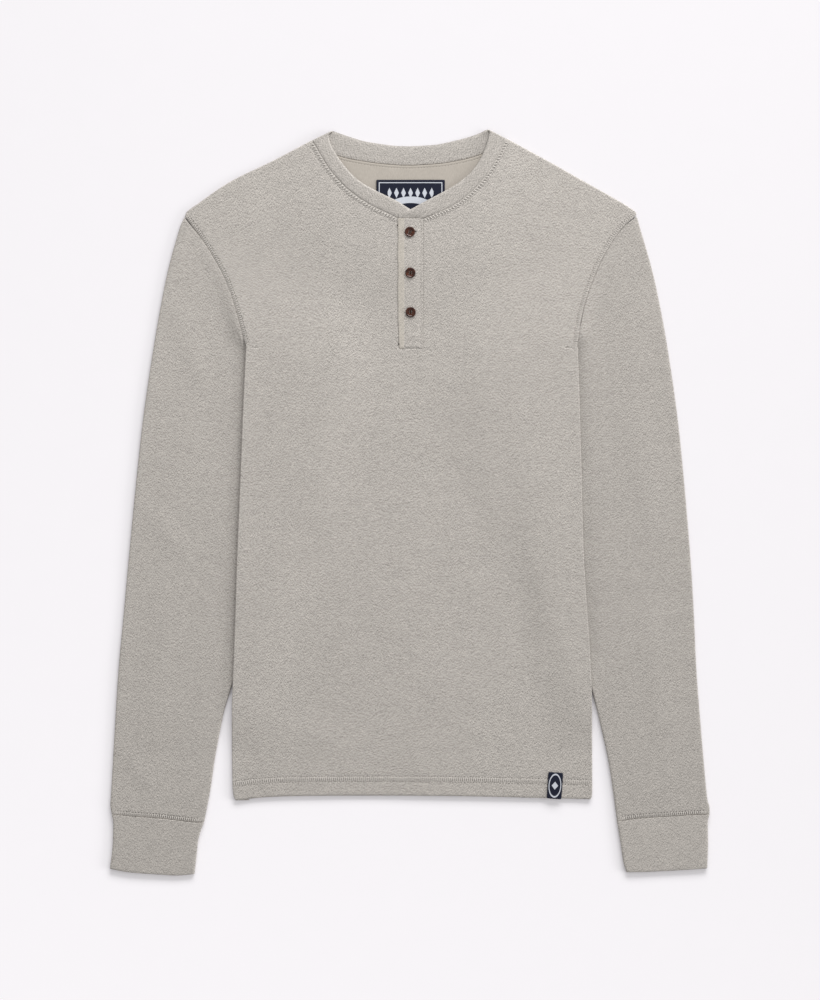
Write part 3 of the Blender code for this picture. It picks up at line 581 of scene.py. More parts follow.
def lower_heights():
    """Row heights above the hem, as shares of the way up to the armpits."""
    rest = mixed(HEM_ROWS_AT[-1], SIDE_LENGTH, spaced(SIDE_LENGTH - HEM_ROWS_AT[-1], 2.0, 2.0, 4.4)[1:])
    return np.array([*HEM_ROWS_AT, *rest]) / SIDE_LENGTH


def row_heights(x, shares):
    return mixed(column(HEM_LINE, x, 1), ARMPIT, shares)


def body_edge(side, y):
    """The side fold's edge, its radius and its lower height at these heights."""
    sign = SIDES[side]
    edge = fold_out(sign, y)
    foot = back_under(sign * edge, y)
    radius = FOLD_PRESSED * (front_plain(sign * (edge - 1.5), y) - foot) / 2
    return edge, radius, foot


def front_lower_side(side):
    sign = SIDES[side]
    neck, shoulder = side_shares()
    across = np.concatenate([neck, shoulder[1:]])
    shares = lower_heights()
    level = row_heights(sign * LEVEL_OUT, shares)
    edge, radius, foot = body_edge(side, level)
    out = mixed(SLOT[side], (edge - radius)[:, None], across[None, :])
    y = row_heights(sign * out, shares[:, None])
    top = joined(out, y, front_top(sign * out, y))
    inside, z = fold(top[:, -1, 2], foot)
    turn = joined(edge[:, None] - narrowed(inside, radius), y[:, -1:], z)[:, 1:]
    flap_out = edge[:, None] - mixed(radius[:, None], FLAP, np.array([[0.3, 0.65, 1.0]]))
    return np.concatenate([top, turn, joined(flap_out, y[:, -1:], foot[:, None])], axis=1)


def shoulder_line(side, shares):
    """Places along a shoulder from the neck to its tip: edge points, the way in from them, fold radii."""
    edge = Curve(SHOULDER[side])
    down = Curve(ARMHOLE[side]).along(0.0)
    point, along = edge.at(shares), edge.along(shares)
    square = joined(along[:, 1], -along[:, 0])
    inward = mixed(square, down, (shares**4)[:, None])
    inward /= np.linalg.norm(inward, axis=1, keepdims=True)
    radius = front_plain(SIDES[side] * point[:, 0], point[:, 1]) / 2
    return point, inward, radius


def front_upper_side(side):
    sign = SIDES[side]
    neck_shares, shoulder_shares = side_shares()
    point, inward, radius = shoulder_line(side, (shoulder_shares - NECK_SHARE) / (1 - NECK_SHARE))
    shoulder = point + inward * radius[:, None]
    top = np.vstack([neck_curve(side, shoulder[0]).at(neck_shares / NECK_SHARE), shoulder[1:]])
    edge, fold_radius, _ = body_edge(side, np.array([ARMPIT]))
    reach = float(edge[0] - fold_radius[0])
    across = np.concatenate([neck_shares, shoulder_shares[1:]])
    foot = joined(mixed(SLOT[side], reach, across), ARMPIT)
    up = spaced(UPPER_LENGTH, 2.0, FINE, held=FINE_ROWS)
    armhole = Curve([(reach, ARMPIT), *reversed(ARMHOLE[side][1:]), shoulder[-1]])
    slot = joined(SLOT[side], mixed(ARMPIT, NECK_SEAM_FOOT, up))
    plan = patch(foot, top, slot, armhole.at(up), across, up)
    grid = raised(plan, front_top(sign * plan[..., 0], plan[..., 1]))

    tops = grid[-1, len(neck_shares) - 1:, 2]
    inside, z = fold(tops, np.zeros(len(tops)))
    flap = raised(point[:, None] + inward[:, None] * narrowed(inside, radius)[..., None], z)
    flap[:, 0, :2] = shoulder
    under = raised(point + inward * SHOULDER_FLAP, 0.0)
    return grid, np.concatenate([flap, under[:, None]], axis=1).transpose(1, 0, 2)


LEAN = {"right": 0.13, "left": -0.04, "shoulder": 0.16}   # how steeply the front's courses rise
SLEEVE_LEAN, SLEEVE_TWIST = {"right": -0.03, "left": 0.19}, 0.09


def grain_of_front(co):
    """Courses rise a little to the right on the wearer's right, more so by the shoulder."""
    x, y, z = co.T
    slope = LEAN["right"] * eased((20.0 - x) / 90.0) + LEAN["left"] * eased((x - 20.0) / 80.0)
    shoulder = LEAN["shoulder"] * eased((-x - 60.0) / 100.0) * eased((y - 200.0) / 90.0)
    return joined(x, y - slope * x - shoulder * (x + 60.0), 0.5 * z)


def make_front(material):
    shares = lower_heights()[:, None]
    x = np.linspace(-SLOT["right"], SLOT["left"], 7)[None, :]
    y = row_heights(x, shares)
    x = np.broadcast_to(x, y.shape)
    grids = [joined(x, y, front_top(x, y))]
    for side in SIDES:
        upper, flap = front_upper_side(side)
        grids += [worn(part, side) for part in (front_lower_side(side), upper, flap)]
    cloth(
        "front", grids, JERSEY, material, grain_of_front, "jersey",
        (0.47, 0.69), area=0.256, rests_on=["back_cloth", "sleeve_left_cloth", "sleeve_right_cloth"],
    )


def make_back(material):
    """The back's outer side faces down."""
    shares = lower_heights()
    level = row_heights(LEVEL_OUT, shares)
    ends = {side: body_edge(side, level)[0] - FLAP - SEAM for side in SIDES}
    across = np.linspace(0.0, 1.0, 66)
    x = mixed(-ends["right"][:, None], ends["left"][:, None], across[None, :])
    y = row_heights(x, shares[:, None])
    lower = joined(x, y, back_under(x, y))

    seams = {}
    for side, sign in SIDES.items():
        point, inward, _ = shoulder_line(side, np.linspace(0.0, 1.0, 22))
        seams[side] = (point + inward * (SHOULDER_FLAP + SEAM)) * np.array([sign, 1.0])
    neck = Curve(BACK_NECK_SEAM).beside(np.linspace(0.0, 1.0, 24)[1:-1], SEAM)
    top = np.vstack([seams["right"][::-1], neck, seams["left"]])
    foot = lower[-1, :, :2]
    up = spaced(150.0)
    edges = {}
    for side, end in (("right", 0), ("left", -1)):
        armhole = [(SIDES[side] * out, height) for out, height in reversed(ARMHOLE[side][1:-1])]
        edges[side] = Curve([foot[end], *armhole, top[end]]).at(up)
    plan = patch(foot, top, edges["right"], edges["left"], across, up)
    grids = [lower[:, ::-1], raised(plan, back_under(plan[..., 0], plan[..., 1]))[:, ::-1]]
    cloth(
        "back", grids, JERSEY, material, grain_of_front, "jersey",
        (0.46, 0.68), area=0.234, rests_on=["sleeve_left_cloth", "sleeve_right_cloth"],
    )


# ---------------------------------------------------------------- sleeves and cuffs

SLEEVE_LENGTH, SLEEVE_WIDTH = 640.0, 100.0
CUFF_LENGTH, CUFF_WIDTH = 56.0, 90.0
CUFF_ROLL = 0.7                          # a cuff's edge is rounded this much as far as a hem's
UNDER_STEPS = 9


def tube(inner_to_outer, up, columns, top_at, swells):
    """A flattened tube. inner_to_outer(across, up) gives plan points; rows run round the tube."""
    edge_in = inner_to_outer(np.array([0.0]), up)[:, 0]
    edge_out = inner_to_outer(np.array([1.0]), up)[:, 0]
    width = np.linalg.norm(edge_out - edge_in, axis=-1)
    tops = {"inner": top_at(edge_in) + FOLD_SWELL * swells("inner", edge_in),
            "outer": top_at(edge_out) + FOLD_SWELL * swells("outer", edge_out)}
    first, last = tops["inner"] / 2 / width, 1 - tops["outer"] / 2 / width
    rows = []
    for k, t in enumerate(up):
        here = np.array([t])

        def place(across):
            return inner_to_outer(np.atleast_1d(across), here)[0]

        across = mixed(first[k], last[k], columns)
        plan = place(across)
        z = top_at(plan)
        for name, inside in (("inner", across * width[k]), ("outer", (1 - across) * width[k])):
            edge = edge_in[k] if name == "inner" else edge_out[k]
            z = z + FOLD_SWELL * swells(name, edge) * bell(inside - tops[name][k] / 2, SWELL_WIDTH)
        upper = raised(plan, z)
        inside, drop = fold(z[-1], 0.0)
        outer = raised(place(1 - inside * (1 - last[k]) / inside[-1]), drop)[1:]
        under = raised(place(mixed(last[k], first[k], np.linspace(0.0, 1.0, UNDER_STEPS)[1:-1])), 0.0)
        inside, drop = fold(z[0], 0.0)
        inner = raised(place(inside * first[k] / inside[-1]), drop)[:0:-1]
        rows.append(np.vstack([upper, outer, under, inner, upper[:1]]))
    return np.array(rows)


def sleeve_frame(side):
    tip = np.array(ARMHOLE[side][0]) + np.array(TIP_CLEAR)
    armhole = Curve([*reversed(ARMHOLE_UNDER_BODY), *reversed(ARMHOLE[side][1:]), tip]).moved(-SEWN_LAP)
    index = 1 if side == "right" else 2
    hidden = [(row[index], row[0]) for row in reversed(SLEEVE_INNER_UNDER_BODY[1:])]
    inner = Curve([*SLEEVE_INNER_CLEAR[side], *hidden, armhole.at(0.0)])
    outer = Curve([*SLEEVE_OUTER[side], armhole.at(1.0)])
    return Curve(CUFF_SEAM[side]), armhole, inner, outer


def filled(foot, top, first, last):
    def points(across, up):
        return patch(foot.at(across), top.at(across), first.at(up), last.at(up), across, up)

    # The corners come from the curves' own ends, whichever shares are asked for.
    def whole(across, up):
        s = np.concatenate([[0.0], across, [1.0]])
        if len(up) > 1:
            return points(s, up)[:, 1:-1]
        return points(s, np.concatenate([[0.0], up, [1.0]]))[1:-1, 1:-1]

    return whole


def sleeve_top(side):
    sign = SIDES[side]
    seam, cuff = armhole_curve(side).line, Curve(CUFF_SEAM[side]).line

    def height(plan):
        x, y = plan[..., 0], plan[..., 1]
        clear = eased((x - fold_out(sign * x, y) - SLEEVE_CLEAR) / SLEEVE_CLEAR_RAMP)
        folds = ridges(sign * x, y, SLEEVE_FOLDS[side]) + SLEEVE_LIE * lie(sign * x, y, 2.0 + sign)
        z = TUBE + folds * clear
        arm = nearest(plan, seam)
        meets = front_plain(sign * x, y) - TUBE
        z = z + meets * bell(arm, MEETS_WIDTH) * eased((y - ARMPIT - 1.0) / MEETS_RAMP)
        dips = DITCH_ON["armhole"][side][1] * ditch(arm, "armhole")
        z = z + dips * eased((y - ARMPIT) / ARMHOLE_DITCH_RAMP)
        beside_body = x - fold_out(sign * x, y)
        hidden = x - beside_body - on_side(SLEEVE_INNER_UNDER_BODY, sign, y)
        pressed = eased((ARMPIT - y) / PRESSED_RAMP) * eased((hidden - HIDDEN_LEAST) / HIDDEN_RAMP)
        for depth, width in BESIDE_BODY[side]:
            z = z - depth * bell(beside_body, width) * pressed
        return z + beside_seam(nearest(plan, cuff), "cuff", DITCH_ON["cuff"][0])

    return height


def grain_of_sleeve(side):
    sign = SIDES[side]

    def grain(co):
        x, y, z = co.T
        return joined(x + sign * SLEEVE_TWIST * y, y - SLEEVE_LEAN[side] * x, 0.5 * z + 40.0 * sign)

    return grain


def make_sleeve(side, material):
    plan = filled(*sleeve_frame(side))
    up = spaced(SLEEVE_LENGTH, FINE, 1.0, held=FINE_ROWS)

    def swells(edge, place):
        return np.where((edge == "outer") | (place[..., 1] < TUCK_END - 12.0), 1.0, 0.0)

    grid = worn(tube(plan, up, spaced(SLEEVE_WIDTH, 1.5, 1.5, 3.6), sleeve_top(side), swells), side)
    grain = grain_of_sleeve(side)
    cloth(f"sleeve_{side}", [grid], JERSEY, material, grain, "jersey", (0.31, 0.63), area=0.153)


def make_cuff(side, material):
    sign = SIDES[side]
    seam = Curve(CUFF_SEAM[side]).moved(-SEWN_LAP)
    inner = Curve([*CUFF_INNER[side], seam.at(0.0)])
    outer = Curve([*CUFF_OUTER[side], seam.at(1.0)])
    foot = Curve(CUFF_FOOT[side])

    def height(plan):
        low = nearest(plan, foot.line)
        high = nearest(plan, seam.line)
        z = CUFF_TUBE + CUFF_LIE * lie(sign * plan[..., 0] * 2, plan[..., 1] * 2, 5.0)
        z = z - CUFF_ROLL * EDGE_ROLL * eased(1 - low / EDGE_ROLL_WIDTH) ** 2
        return z + DITCH_ON["cuff"][1] * ditch(high, "cuff")

    grid = tube(
        filled(foot, seam, inner, outer),
        spaced(CUFF_LENGTH, FINE, FINE, 3.0),
        spaced(CUFF_WIDTH, 1.5, 1.5, 3.0),
        height,
        lambda edge, place: np.zeros(place.shape[:-1]),
    )
    grain = grain_of_sleeve(side)
    cloth(f"cuff_{side}", [worn(grid, side)], CUFF_WALL, material, grain, "cuff_jersey", (0.19, 0.058))


# ---------------------------------------------------------------- neck

BAND_CROWN = 0.3                         # how far its middle stands up
BAND_ROLL, BAND_ROLL_WIDTH = 0.7, 2.0
BACK_BAND, BACK_DITCH = 20.0, 7.0        # the back band's width, and its own dip from its seam
BACK_LIFT = 0.35
BAND_WALL = 1.1
LAP_AT_SEAM, LAP_RAMP = 0.4, 6.0
BACK_RISE, BACK_RISE_RAMP = 1.5, 16.0    # the back band comes up to meet the front one at both shoulders
LAP_LIFT = 0.95                          # the band's left end lies this much higher, over the right one
LAP_END = 9.0                            # the band that lies on top thins out over its end
DIMPLE_DEPTH, DIMPLE_X, DIMPLE_HEAD, DIMPLE_WIDTH = 0.8, 2.0, 306.0, 8.0   # where the lap dips in the middle
PEAK_PRESSED, PEAK_FROM, PEAK_RAMP = 0.3, 364.0, 20.0


def band_peak(side):
    """The band's two ends on the shoulder fold, at its seam and at its peak, and the way in from them."""
    seam_end, peak = np.array(SHOULDER[side][0]), np.array(BAND_PEAK[side])
    inward = shoulder_line(side, np.array([0.0]))[1][0]
    along = (peak - seam_end) / np.linalg.norm(peak - seam_end)
    radius = (TUBE - JERSEY + BAND) / 2
    return seam_end + along * SEAM + inward * radius, peak + inward * radius, inward


def band_crown(across, width):
    """The relief across the band: a seam ditch at one side, a rolled fold at the other."""
    d, e = across * width, (1 - across) * width
    roll = BAND_ROLL * eased(1 - e / BAND_ROLL_WIDTH) ** 2
    return BAND_CROWN * np.sin(np.pi * across) ** 0.8 + DITCH_ON["neck"][1] * ditch(d, "neck") - roll


def band_under(across):
    """How far the back band's lower side is off the surface: its relief shows on its upper side."""
    dip = 0.3 * bell(across * BACK_BAND - BACK_DITCH, GROOVE_WIDTH)
    return np.maximum(BACK_LIFT + band_crown(across, BACK_BAND) - dip, 0.0)


def band_front(side, across):
    sign = SIDES[side]
    peak = band_peak(side)[1]
    point, way, radius = shoulder_line(side, np.array([0.0]))
    neck = neck_curve(side, (point + way * radius[:, None])[0])
    slot = joined(np.linspace(BAND_EDGE[side][0][0], SLOT[side], 16)[:-1], NECK_SEAM_FOOT)
    seam = np.vstack([slot, neck.at(spaced(neck.length, 1.5, 1.5, 2.6))])
    along = np.gradient(seam, axis=0)
    along /= np.linalg.norm(along, axis=1, keepdims=True)
    seam = seam - joined(-along[:, 1], along[:, 0]) * SEWN_LAP
    reach = lengths(seam)
    edge = Curve([*BAND_EDGE[side], peak]).at(reach / reach[-1])
    width = np.linalg.norm(edge - seam, axis=1)[:, None]
    plan = mixed(seam[:, None], edge[:, None], across[None, :, None])
    x, y = sign * plan[..., 0], plan[..., 1]
    z = front_plain(x, y) - JERSEY + BAND + band_crown(across[None, :], width)
    if side == "left":
        lap = eased((BAND_LIFT_END - x) / BAND_LIFT_RAMP) * eased((x - PLACKET["right"]) / LAP_END)
        z = z + mixed(LAP_AT_SEAM, LAP_LIFT, eased(across[None, :] * width / LAP_RAMP)) * lap
    low = eased((DIMPLE_HEAD - y) / (DIMPLE_HEAD - NECK_SEAM_FOOT))
    z = z - DIMPLE_DEPTH * bell(x - DIMPLE_X, DIMPLE_WIDTH) * low
    z = z - PEAK_PRESSED * eased((y - PEAK_FROM) / PEAK_RAMP) * eased(across[None, :] / 0.8)
    return joined(x, y, z)


def band_fold(side, station, across):
    """The band's turn round the shoulder fold, from the front's last station to the back."""
    low, high, inward = band_peak(side)
    inside, z = fold(station[:, 2], band_under(across) + BACK_RISE)
    radius = inside[:, -1:]
    place = mixed(low, high, across[:, None])[:, None] + inward * (inside - radius)[..., None]
    return joined(SIDES[side] * place[..., 0], place[..., 1], z).transpose(1, 0, 2)[1:]


def make_neckband(material):
    across = spaced(20.0, FINE, 0.5, 1.8)
    halves = {}
    for side in SIDES:
        front = band_front(side, across)
        halves[side] = np.concatenate([front, band_fold(side, front[-1], across)])
    shares = np.linspace(0.0, 1.0, 84)[1:-1]
    seam = Curve(BACK_NECK_SEAM).beside(shares, -SEAM)
    edge = Curve(BACK_BAND_EDGE).at(shares)
    plan = mixed(seam[:, None], edge[:, None], across[None, :, None])
    from_end = np.minimum(shares, 1 - shares) * Curve(BACK_NECK_SEAM).length
    z = band_under(across) + BACK_RISE * (1 - eased(from_end / BACK_RISE_RAMP))[:, None]
    ring = np.concatenate([halves["left"], raised(plan, z)[::-1], halves["right"][::-1]])
    span = np.linalg.norm(ring[:, -1] - ring[:, 0], axis=-1)[:, None] * across
    grain = joined(lengths(ring[:, len(across) // 2])[:, None], span, 60.0)
    ring, grain = (grid.transpose(1, 0, 2) for grid in (ring, grain))
    cloth(
        "neckband", [ring], BAND_WALL, material, [grain], "neckband_jersey",
        (0.44, 0.02), rests_on=["front_cloth", "back_cloth"],
    )


BINDING, BINDING_RISE = 2.8, 0.1         # width and height of the taped edge below the back neck seam
LABEL_ROLL, LABEL_ROLL_WIDTH = 0.35, 0.9
LABEL_CENTRE = (NECK_LABEL["right"] + NECK_LABEL["left"]) / 2, (NECK_LABEL["foot"] + NECK_LABEL["top"]) / 2
LABEL_SIZE = NECK_LABEL["left"] - NECK_LABEL["right"], NECK_LABEL["top"] - NECK_LABEL["foot"]


def make_facing(material):
    top_z = JERSEY + SEAM + FACING_WALL
    neck = Curve(BACK_NECK_SEAM)
    across = np.linspace(0.0, 1.0, 61)
    up = spaced(86.0, COARSE, 0.5, 3.0, held=FINE_ROWS)
    high = neck.beside(mixed(0.1, 0.9, across), SEAM)
    arc = np.sqrt(np.maximum(1 - (2 * across - 1) ** 2, 0.0))
    low = np.minimum(mixed(high[:, 1] - FACING_SIDE, FACING_FOOT, arc), high[:, 1] - FACING_SIDE)
    plan = mixed(joined(FACING_OUT * (2 * across - 1), low)[None], high[None], up[:, None, None])
    d = nearest(plan, neck.line)
    z = top_z + BINDING_RISE * bell(d - BINDING / 2, BINDING / 3) - GROOVE * bell(d - BINDING, 0.5)
    cloth(
        "neck_facing", [raised(plan, z)], FACING_WALL, material, lambda co: co, "facing_tape",
        (0.169, 0.099), area=0.0114, rests_on=["back_cloth"],
    )


def label(node, width, height, spacing, place, material, square, flat, rests_on):
    """A small flat label: place(u, v) gives world points for mm from its centre. Its corners are less round
    the higher square is.
    """
    across = mixed(-width / 2, width / 2, spaced(width, 0.4, 0.4, spacing))
    up = mixed(-height / 2, height / 2, spaced(height, 0.4, 0.4, spacing))
    u, v = np.meshgrid(across, up)
    edge = np.minimum(width / 2 - np.abs(u), height / 2 - np.abs(v))
    a, b = np.abs(u) / (width / 2), np.abs(v) / (height / 2)
    rounding = np.maximum(np.maximum(a, b), 1e-6) / np.maximum((a**square + b**square) ** (1 / square), 1e-6)
    grid = place(u * rounding, v * rounding)
    grid[..., 2] -= LABEL_ROLL * eased(1 - edge / LABEL_ROLL_WIDTH) ** 2
    cloth(node, [grid], LABEL_WALL, material, lambda co: co, "label", flat, rests_on=[rests_on])


def make_neck_label(material):
    z = JERSEY + SEAM + FACING_WALL + SEAM + LABEL_WALL

    def place(u, v):
        return joined(u + LABEL_CENTRE[0], v + LABEL_CENTRE[1], z + 0.1 * np.sin(u / 9.0))

    label("neck_label", *LABEL_SIZE, 2.4, place, material, 60, (0.072, 0.036), "neck_facing_cloth")


def make_hem_label(material):
    turn, size = HEM_LABEL["tilt"], (HEM_LABEL["width"], HEM_LABEL["height"])

    def place(u, v):
        x = HEM_LABEL["x"] + u * math.cos(turn) - v * math.sin(turn)
        y = HEM_LABEL["y"] + u * math.sin(turn) + v * math.cos(turn)
        return joined(x, y, TUBE + SEAM + LABEL_WALL + 0.2)

    label("hem_label", *size, 1.6, place, material, 16, (0.0156, 0.0278), "front_cloth")


# ---------------------------------------------------------------- placket and buttons

def edge_down(distance, width, depth):
    """How far cloth has rolled down at a distance from its edge."""
    return depth * eased(1 - distance / width)


def strip(node, right, left, foot, above, material, slot, flat, area, wander=lambda y: 0.0 * y):
    """A strip of the placket. above(x, y) is its height over the front, wander(y) how far its edge strays."""
    head = NECK_SEAM_FOOT + SEWN_LAP
    x = mixed(right, left, spaced(left - right, 0.4, 0.4, 1.6))
    y = mixed(foot, head, spaced(head - foot, 0.4, 0.4, 1.8))
    gx, gy = np.meshgrid(x, y)
    share = (left - gx) / (left - right)
    grid = joined(gx + wander(gy) * share, gy, front_plain(gx, gy) + above(gx, gy))
    under = ["front_cloth"]
    cloth(node, [grid], PLACKET_WALL, material, grain_of_front, slot, flat, area=area, rests_on=under)


PLACKET_STITCH_X = 12.6
BOX_HEAD = 170.6                         # the upper row of the box of stitches at the foot
TOP_ROW = 294.0
PLACKET_RISE, LEAST_RISE = 0.6, 0.12     # height of the closed placket over the front, and of its thin edges
TAPE_RISE = 0.06                         # the tape's height over the jersey beside it
TUCKED_UNDER = 1.4                       # the jersey strip runs on under the tape
EDGE_JOG = (189.0, 0.9)                  # below this height the free edge sits further in


def make_placket(jersey, tape):
    def row(distance):
        return bell(distance, GROOVE_WIDTH)

    def stray(y):
        low, shift = EDGE_JOG
        return shift * eased((low - y) / 2.0) + 0.22 * np.sin(y / 6.1) + 0.13 * np.sin(y / 2.3)

    def on_upper(x, y):
        rows = row(x - PLACKET_STITCH_X) + row(y - BOX_HEAD) + row(y - TOP_ROW)
        low = edge_down(PLACKET["left"] - x, 7.0, PLACKET_RISE - LEAST_RISE)
        low = low + edge_down(y - PLACKET_FOOT, 2.0, 0.5)
        z = np.maximum(PLACKET_RISE - low, LEAST_RISE) - 0.7 * GROOVE * rows
        return z - 0.1 * bell(x - TAPE_LEFT, 0.7)

    def on_tape(x, y):
        low = edge_down(x - PLACKET["right"], 0.8, 0.15) + edge_down(y - PLACKET_FOOT, 1.6, 0.35)
        z = PLACKET_RISE + TAPE_RISE - low - edge_down(TAPE_LEFT - x, 0.8, 0.12)
        return z - 0.7 * GROOVE * row(y - TOP_ROW)

    strip(
        "placket_lower", -SLOT["right"] + SEAM, SLOT["left"] - SEAM, ARMPIT + SEAM, lambda x, y: 0.0 * x,
        jersey, "placket_jersey", (0.0226, 0.135), 0.00305,
    )
    strip(
        "placket_upper", TAPE_LEFT - TUCKED_UNDER, PLACKET["left"], PLACKET_FOOT, on_upper,
        jersey, "placket_jersey", (0.0211, 0.136), 0.00287,
    )
    strip(
        "placket_tape", PLACKET["right"], TAPE_LEFT, PLACKET_FOOT, on_tape,
        tape, "facing_tape", (0.013, 0.136), 0.00088, stray,
    )


BUTTON_PROFILE = (
    # radius, height
    (3.6, 0.0), (4.6, 0.35), (5.2, 0.9), (5.4, 1.45), (5.3, 1.85), (4.95, 2.15), (4.5, 2.2),
    (4.1, 2.05), (3.8, 1.75), (3.3, 1.55), (2.4, 1.42), (1.2, 1.36),
)
HOLE_RADIUS, HOLE_OFFSET = 0.75, 1.3
BUTTON_SIDES, BUTTON_SUNK, THREAD_UP = 64, 0.75, 0.9
BUTTON_THREAD = (3.4, 0.72)              # its length and radius


def mesh_from(name, work):
    mesh = bpy.data.meshes.new(name)
    work.to_mesh(mesh)
    work.free()
    return mesh


def button_mesh():
    """A turned button with four holes, about its own centre."""
    work = bmesh.new()
    turns = [math.tau * k / BUTTON_SIDES for k in range(BUTTON_SIDES)]
    rings = [
        [work.verts.new((radius * math.cos(t), radius * math.sin(t), height)) for t in turns]
        for radius, height in BUTTON_PROFILE
    ]
    for low, high in zip(rings, rings[1:]):
        for k in range(BUTTON_SIDES):
            n = (k + 1) % BUTTON_SIDES
            work.faces.new([low[k], low[n], high[n], high[k]])
    work.faces.new(list(reversed(rings[0])))
    work.faces.new(rings[-1])
    blank = placed("blank", mesh_from("button", work))
    holes = bmesh.new()
    for k in range(4):
        turn = math.tau * (k + 0.5) / 4
        made = bmesh.ops.create_cone(
            holes, cap_ends=True, segments=24, radius1=HOLE_RADIUS, radius2=HOLE_RADIUS, depth=8.0
        )
        shift = Vector((math.cos(turn), math.sin(turn), 0.0)) * HOLE_OFFSET
        bmesh.ops.translate(holes, verts=made["verts"], vec=shift)
    cutter = placed("cutter", mesh_from("holes", holes))
    cut = blank.modifiers.new("four holes", "BOOLEAN")
    cut.object, cut.solver = cutter, "EXACT"
    bpy.context.view_layer.update()
    mesh = bpy.data.meshes.new_from_object(blank.evaluated_get(bpy.context.evaluated_depsgraph_get()))
    bpy.data.objects.remove(blank)
    bpy.data.objects.remove(cutter)
    return mesh


def make_button(name, x, y, material, thread):
    """A button on the placket, tipped with the cloth under it, and its threads."""
    mesh = button_mesh()
    foot, middle, head = (float(front_plain(np.array(x), np.array(y + step))) for step in (-5.0, 0.0, 5.0))
    base = middle + PLACKET_RISE - BUTTON_SUNK
    slope = math.atan((head - foot) / 10.0)
    co = np.empty(len(mesh.vertices) * 3)
    mesh.vertices.foreach_get("co", co)
    across, up, high = co.reshape(-1, 3).T
    place = joined(
        across + x,
        up * math.cos(slope) - high * math.sin(slope) + y,
        up * math.sin(slope) + high * math.cos(slope) + base,
    )
    mesh.vertices.foreach_set("co", (place * MM).ravel())
    mesh.materials.clear()
    made = finish_mesh(f"button_{name}_turned", mesh, material)
    made.data.set_sharp_from_angle(angle=math.radians(50))
    dress(made, "button", f"button_{name}")

    step, high = HOLE_OFFSET * math.sqrt(0.5), base + THREAD_UP
    rows = [np.array([[x - step, y + row * step, high], [x + step, y + row * step, high]]) for row in (-1, 1)]
    length, radius = BUTTON_THREAD
    stitches(f"button_{name}_thread", rows, thread, "button", length=length, radius=radius, per_row=1)


# ---------------------------------------------------------------- sewing

def stitches(
    name, lines, material, slot, pitch=STITCH_PITCH, length=STITCH_LENGTH, radius=STITCH_RADIUS,
    arch=0.2, per_row=None, shift=0.5,
):
    """Rows of thread: one small bowed bead for each stitch along each line of points."""
    sides, rings = 6, 5
    t = np.linspace(-1.0, 1.0, rings + 2)[1:-1]
    turn = np.arange(sides) * math.tau / sides
    points, faces, start = [], [], 0
    for line in lines:
        reach = lengths(line)
        count = per_row or max(int(reach[-1] / pitch), 1)
        for k in range(count):
            middle = (k + shift) * reach[-1] / count
            places = middle - length / 2, middle + length / 2
            ends = [np.array([np.interp(place, reach, axis) for axis in line.T]) for place in places]
            centre, along = (ends[0] + ends[1]) / 2, ends[1] - ends[0]
            half = np.linalg.norm(along) / 2
            along = along / (2 * half)
            side = np.cross(along, [0.0, 0.0, 1.0])
            side /= np.linalg.norm(side)
            up = np.cross(side, along)
            ring = centre + along * (t * half)[:, None] + up * (arch * (1 - t * t) - radius * 0.35)[:, None]
            fat = radius * np.sqrt(1 - t**4)
            body = ring[:, None] + fat[:, None, None] * (
                np.cos(turn)[None, :, None] * side + np.sin(turn)[None, :, None] * up
            )
            tips = [centre - along * half - up * radius * 0.5, centre + along * half - up * radius * 0.5]
            points += [body.reshape(-1, 3), np.array(tips)]
            for i in range(rings - 1):
                for j in range(sides):
                    a, b = start + i * sides + j, start + i * sides + (j + 1) % sides
                    faces.append((a, b, b + sides, a + sides))
            low, high = start + rings * sides, start + rings * sides + 1
            for j in range(sides):
                n = (j + 1) % sides
                faces.append((start + n, start + j, low))
                faces.append((start + (rings - 1) * sides + j, start + (rings - 1) * sides + n, high))
            start += rings * sides + 2
    mesh = bpy.data.meshes.new(name)
    mesh.from_pydata((np.vstack(points) * MM).tolist(), [], faces)
    dress(finish_mesh(name, mesh, material), slot)


def on(height, plan, raise_by=0.0):
    return raised(plan, height(plan[:, 0], plan[:, 1]) + raise_by)


def rungs(curve, near, far, pitch, lean=0.0, start=0.0, end=1.0, shift=0.5):
    """Short lines across the strip beside a curve, each leaning this far along it."""
    count = int(curve.length * (end - start) / pitch)
    middles = mixed(start, end, (np.arange(count) + shift) / count)
    reach = lean / 2 / curve.length
    return [np.vstack([curve.beside(m - reach, near), curve.beside(m + reach, far)]) for m in middles]


def sew_strip(
    name, curve, height, flip, thread, hole_shade, near, far, rows, lean=0.0, start=0.0, end=1.0,
    pitch=LADDER_PITCH, bold=1.0,
):
    """A coverstitch: threads from near to far across a strip, with dark beads of painted shade between them
    and in the needle holes of its rows.
    """
    rung, gap_shade_radius = RUNG_SHARE * pitch, GAP_SHADE_SHARE * pitch * bold
    # the gaps are dark beads between the threads: painted shade
    beads = ("ladder", thread, rung, 0.08, 0.5), ("painted_gap_shade", hole_shade, gap_shade_radius, -0.04, 0.0)
    for word, yarn, radius, over, shift in beads:
        lines = rungs(curve, near, far, pitch, lean, start, end, shift)
        laid = [on(height, line * flip, over) for line in lines]
        stitches(f"{name}_{word}", laid, yarn, "jersey", length=9.0, radius=radius, arch=0.08, per_row=1)
    # the needle holes are dark beads along each row: painted shade
    length, radius = HOLE_SHADE_LENGTH, HOLE_SHADE_WIDTH / 2 * bold
    for word, row in rows.items():
        line = on(height, curve.beside(np.linspace(start, end, 160), row) * flip, 0.02)
        holes = f"{name}_holes_{word}"
        stitches(holes, [line], hole_shade, "jersey", length=length, radius=radius, arch=0.0, shift=0.0)


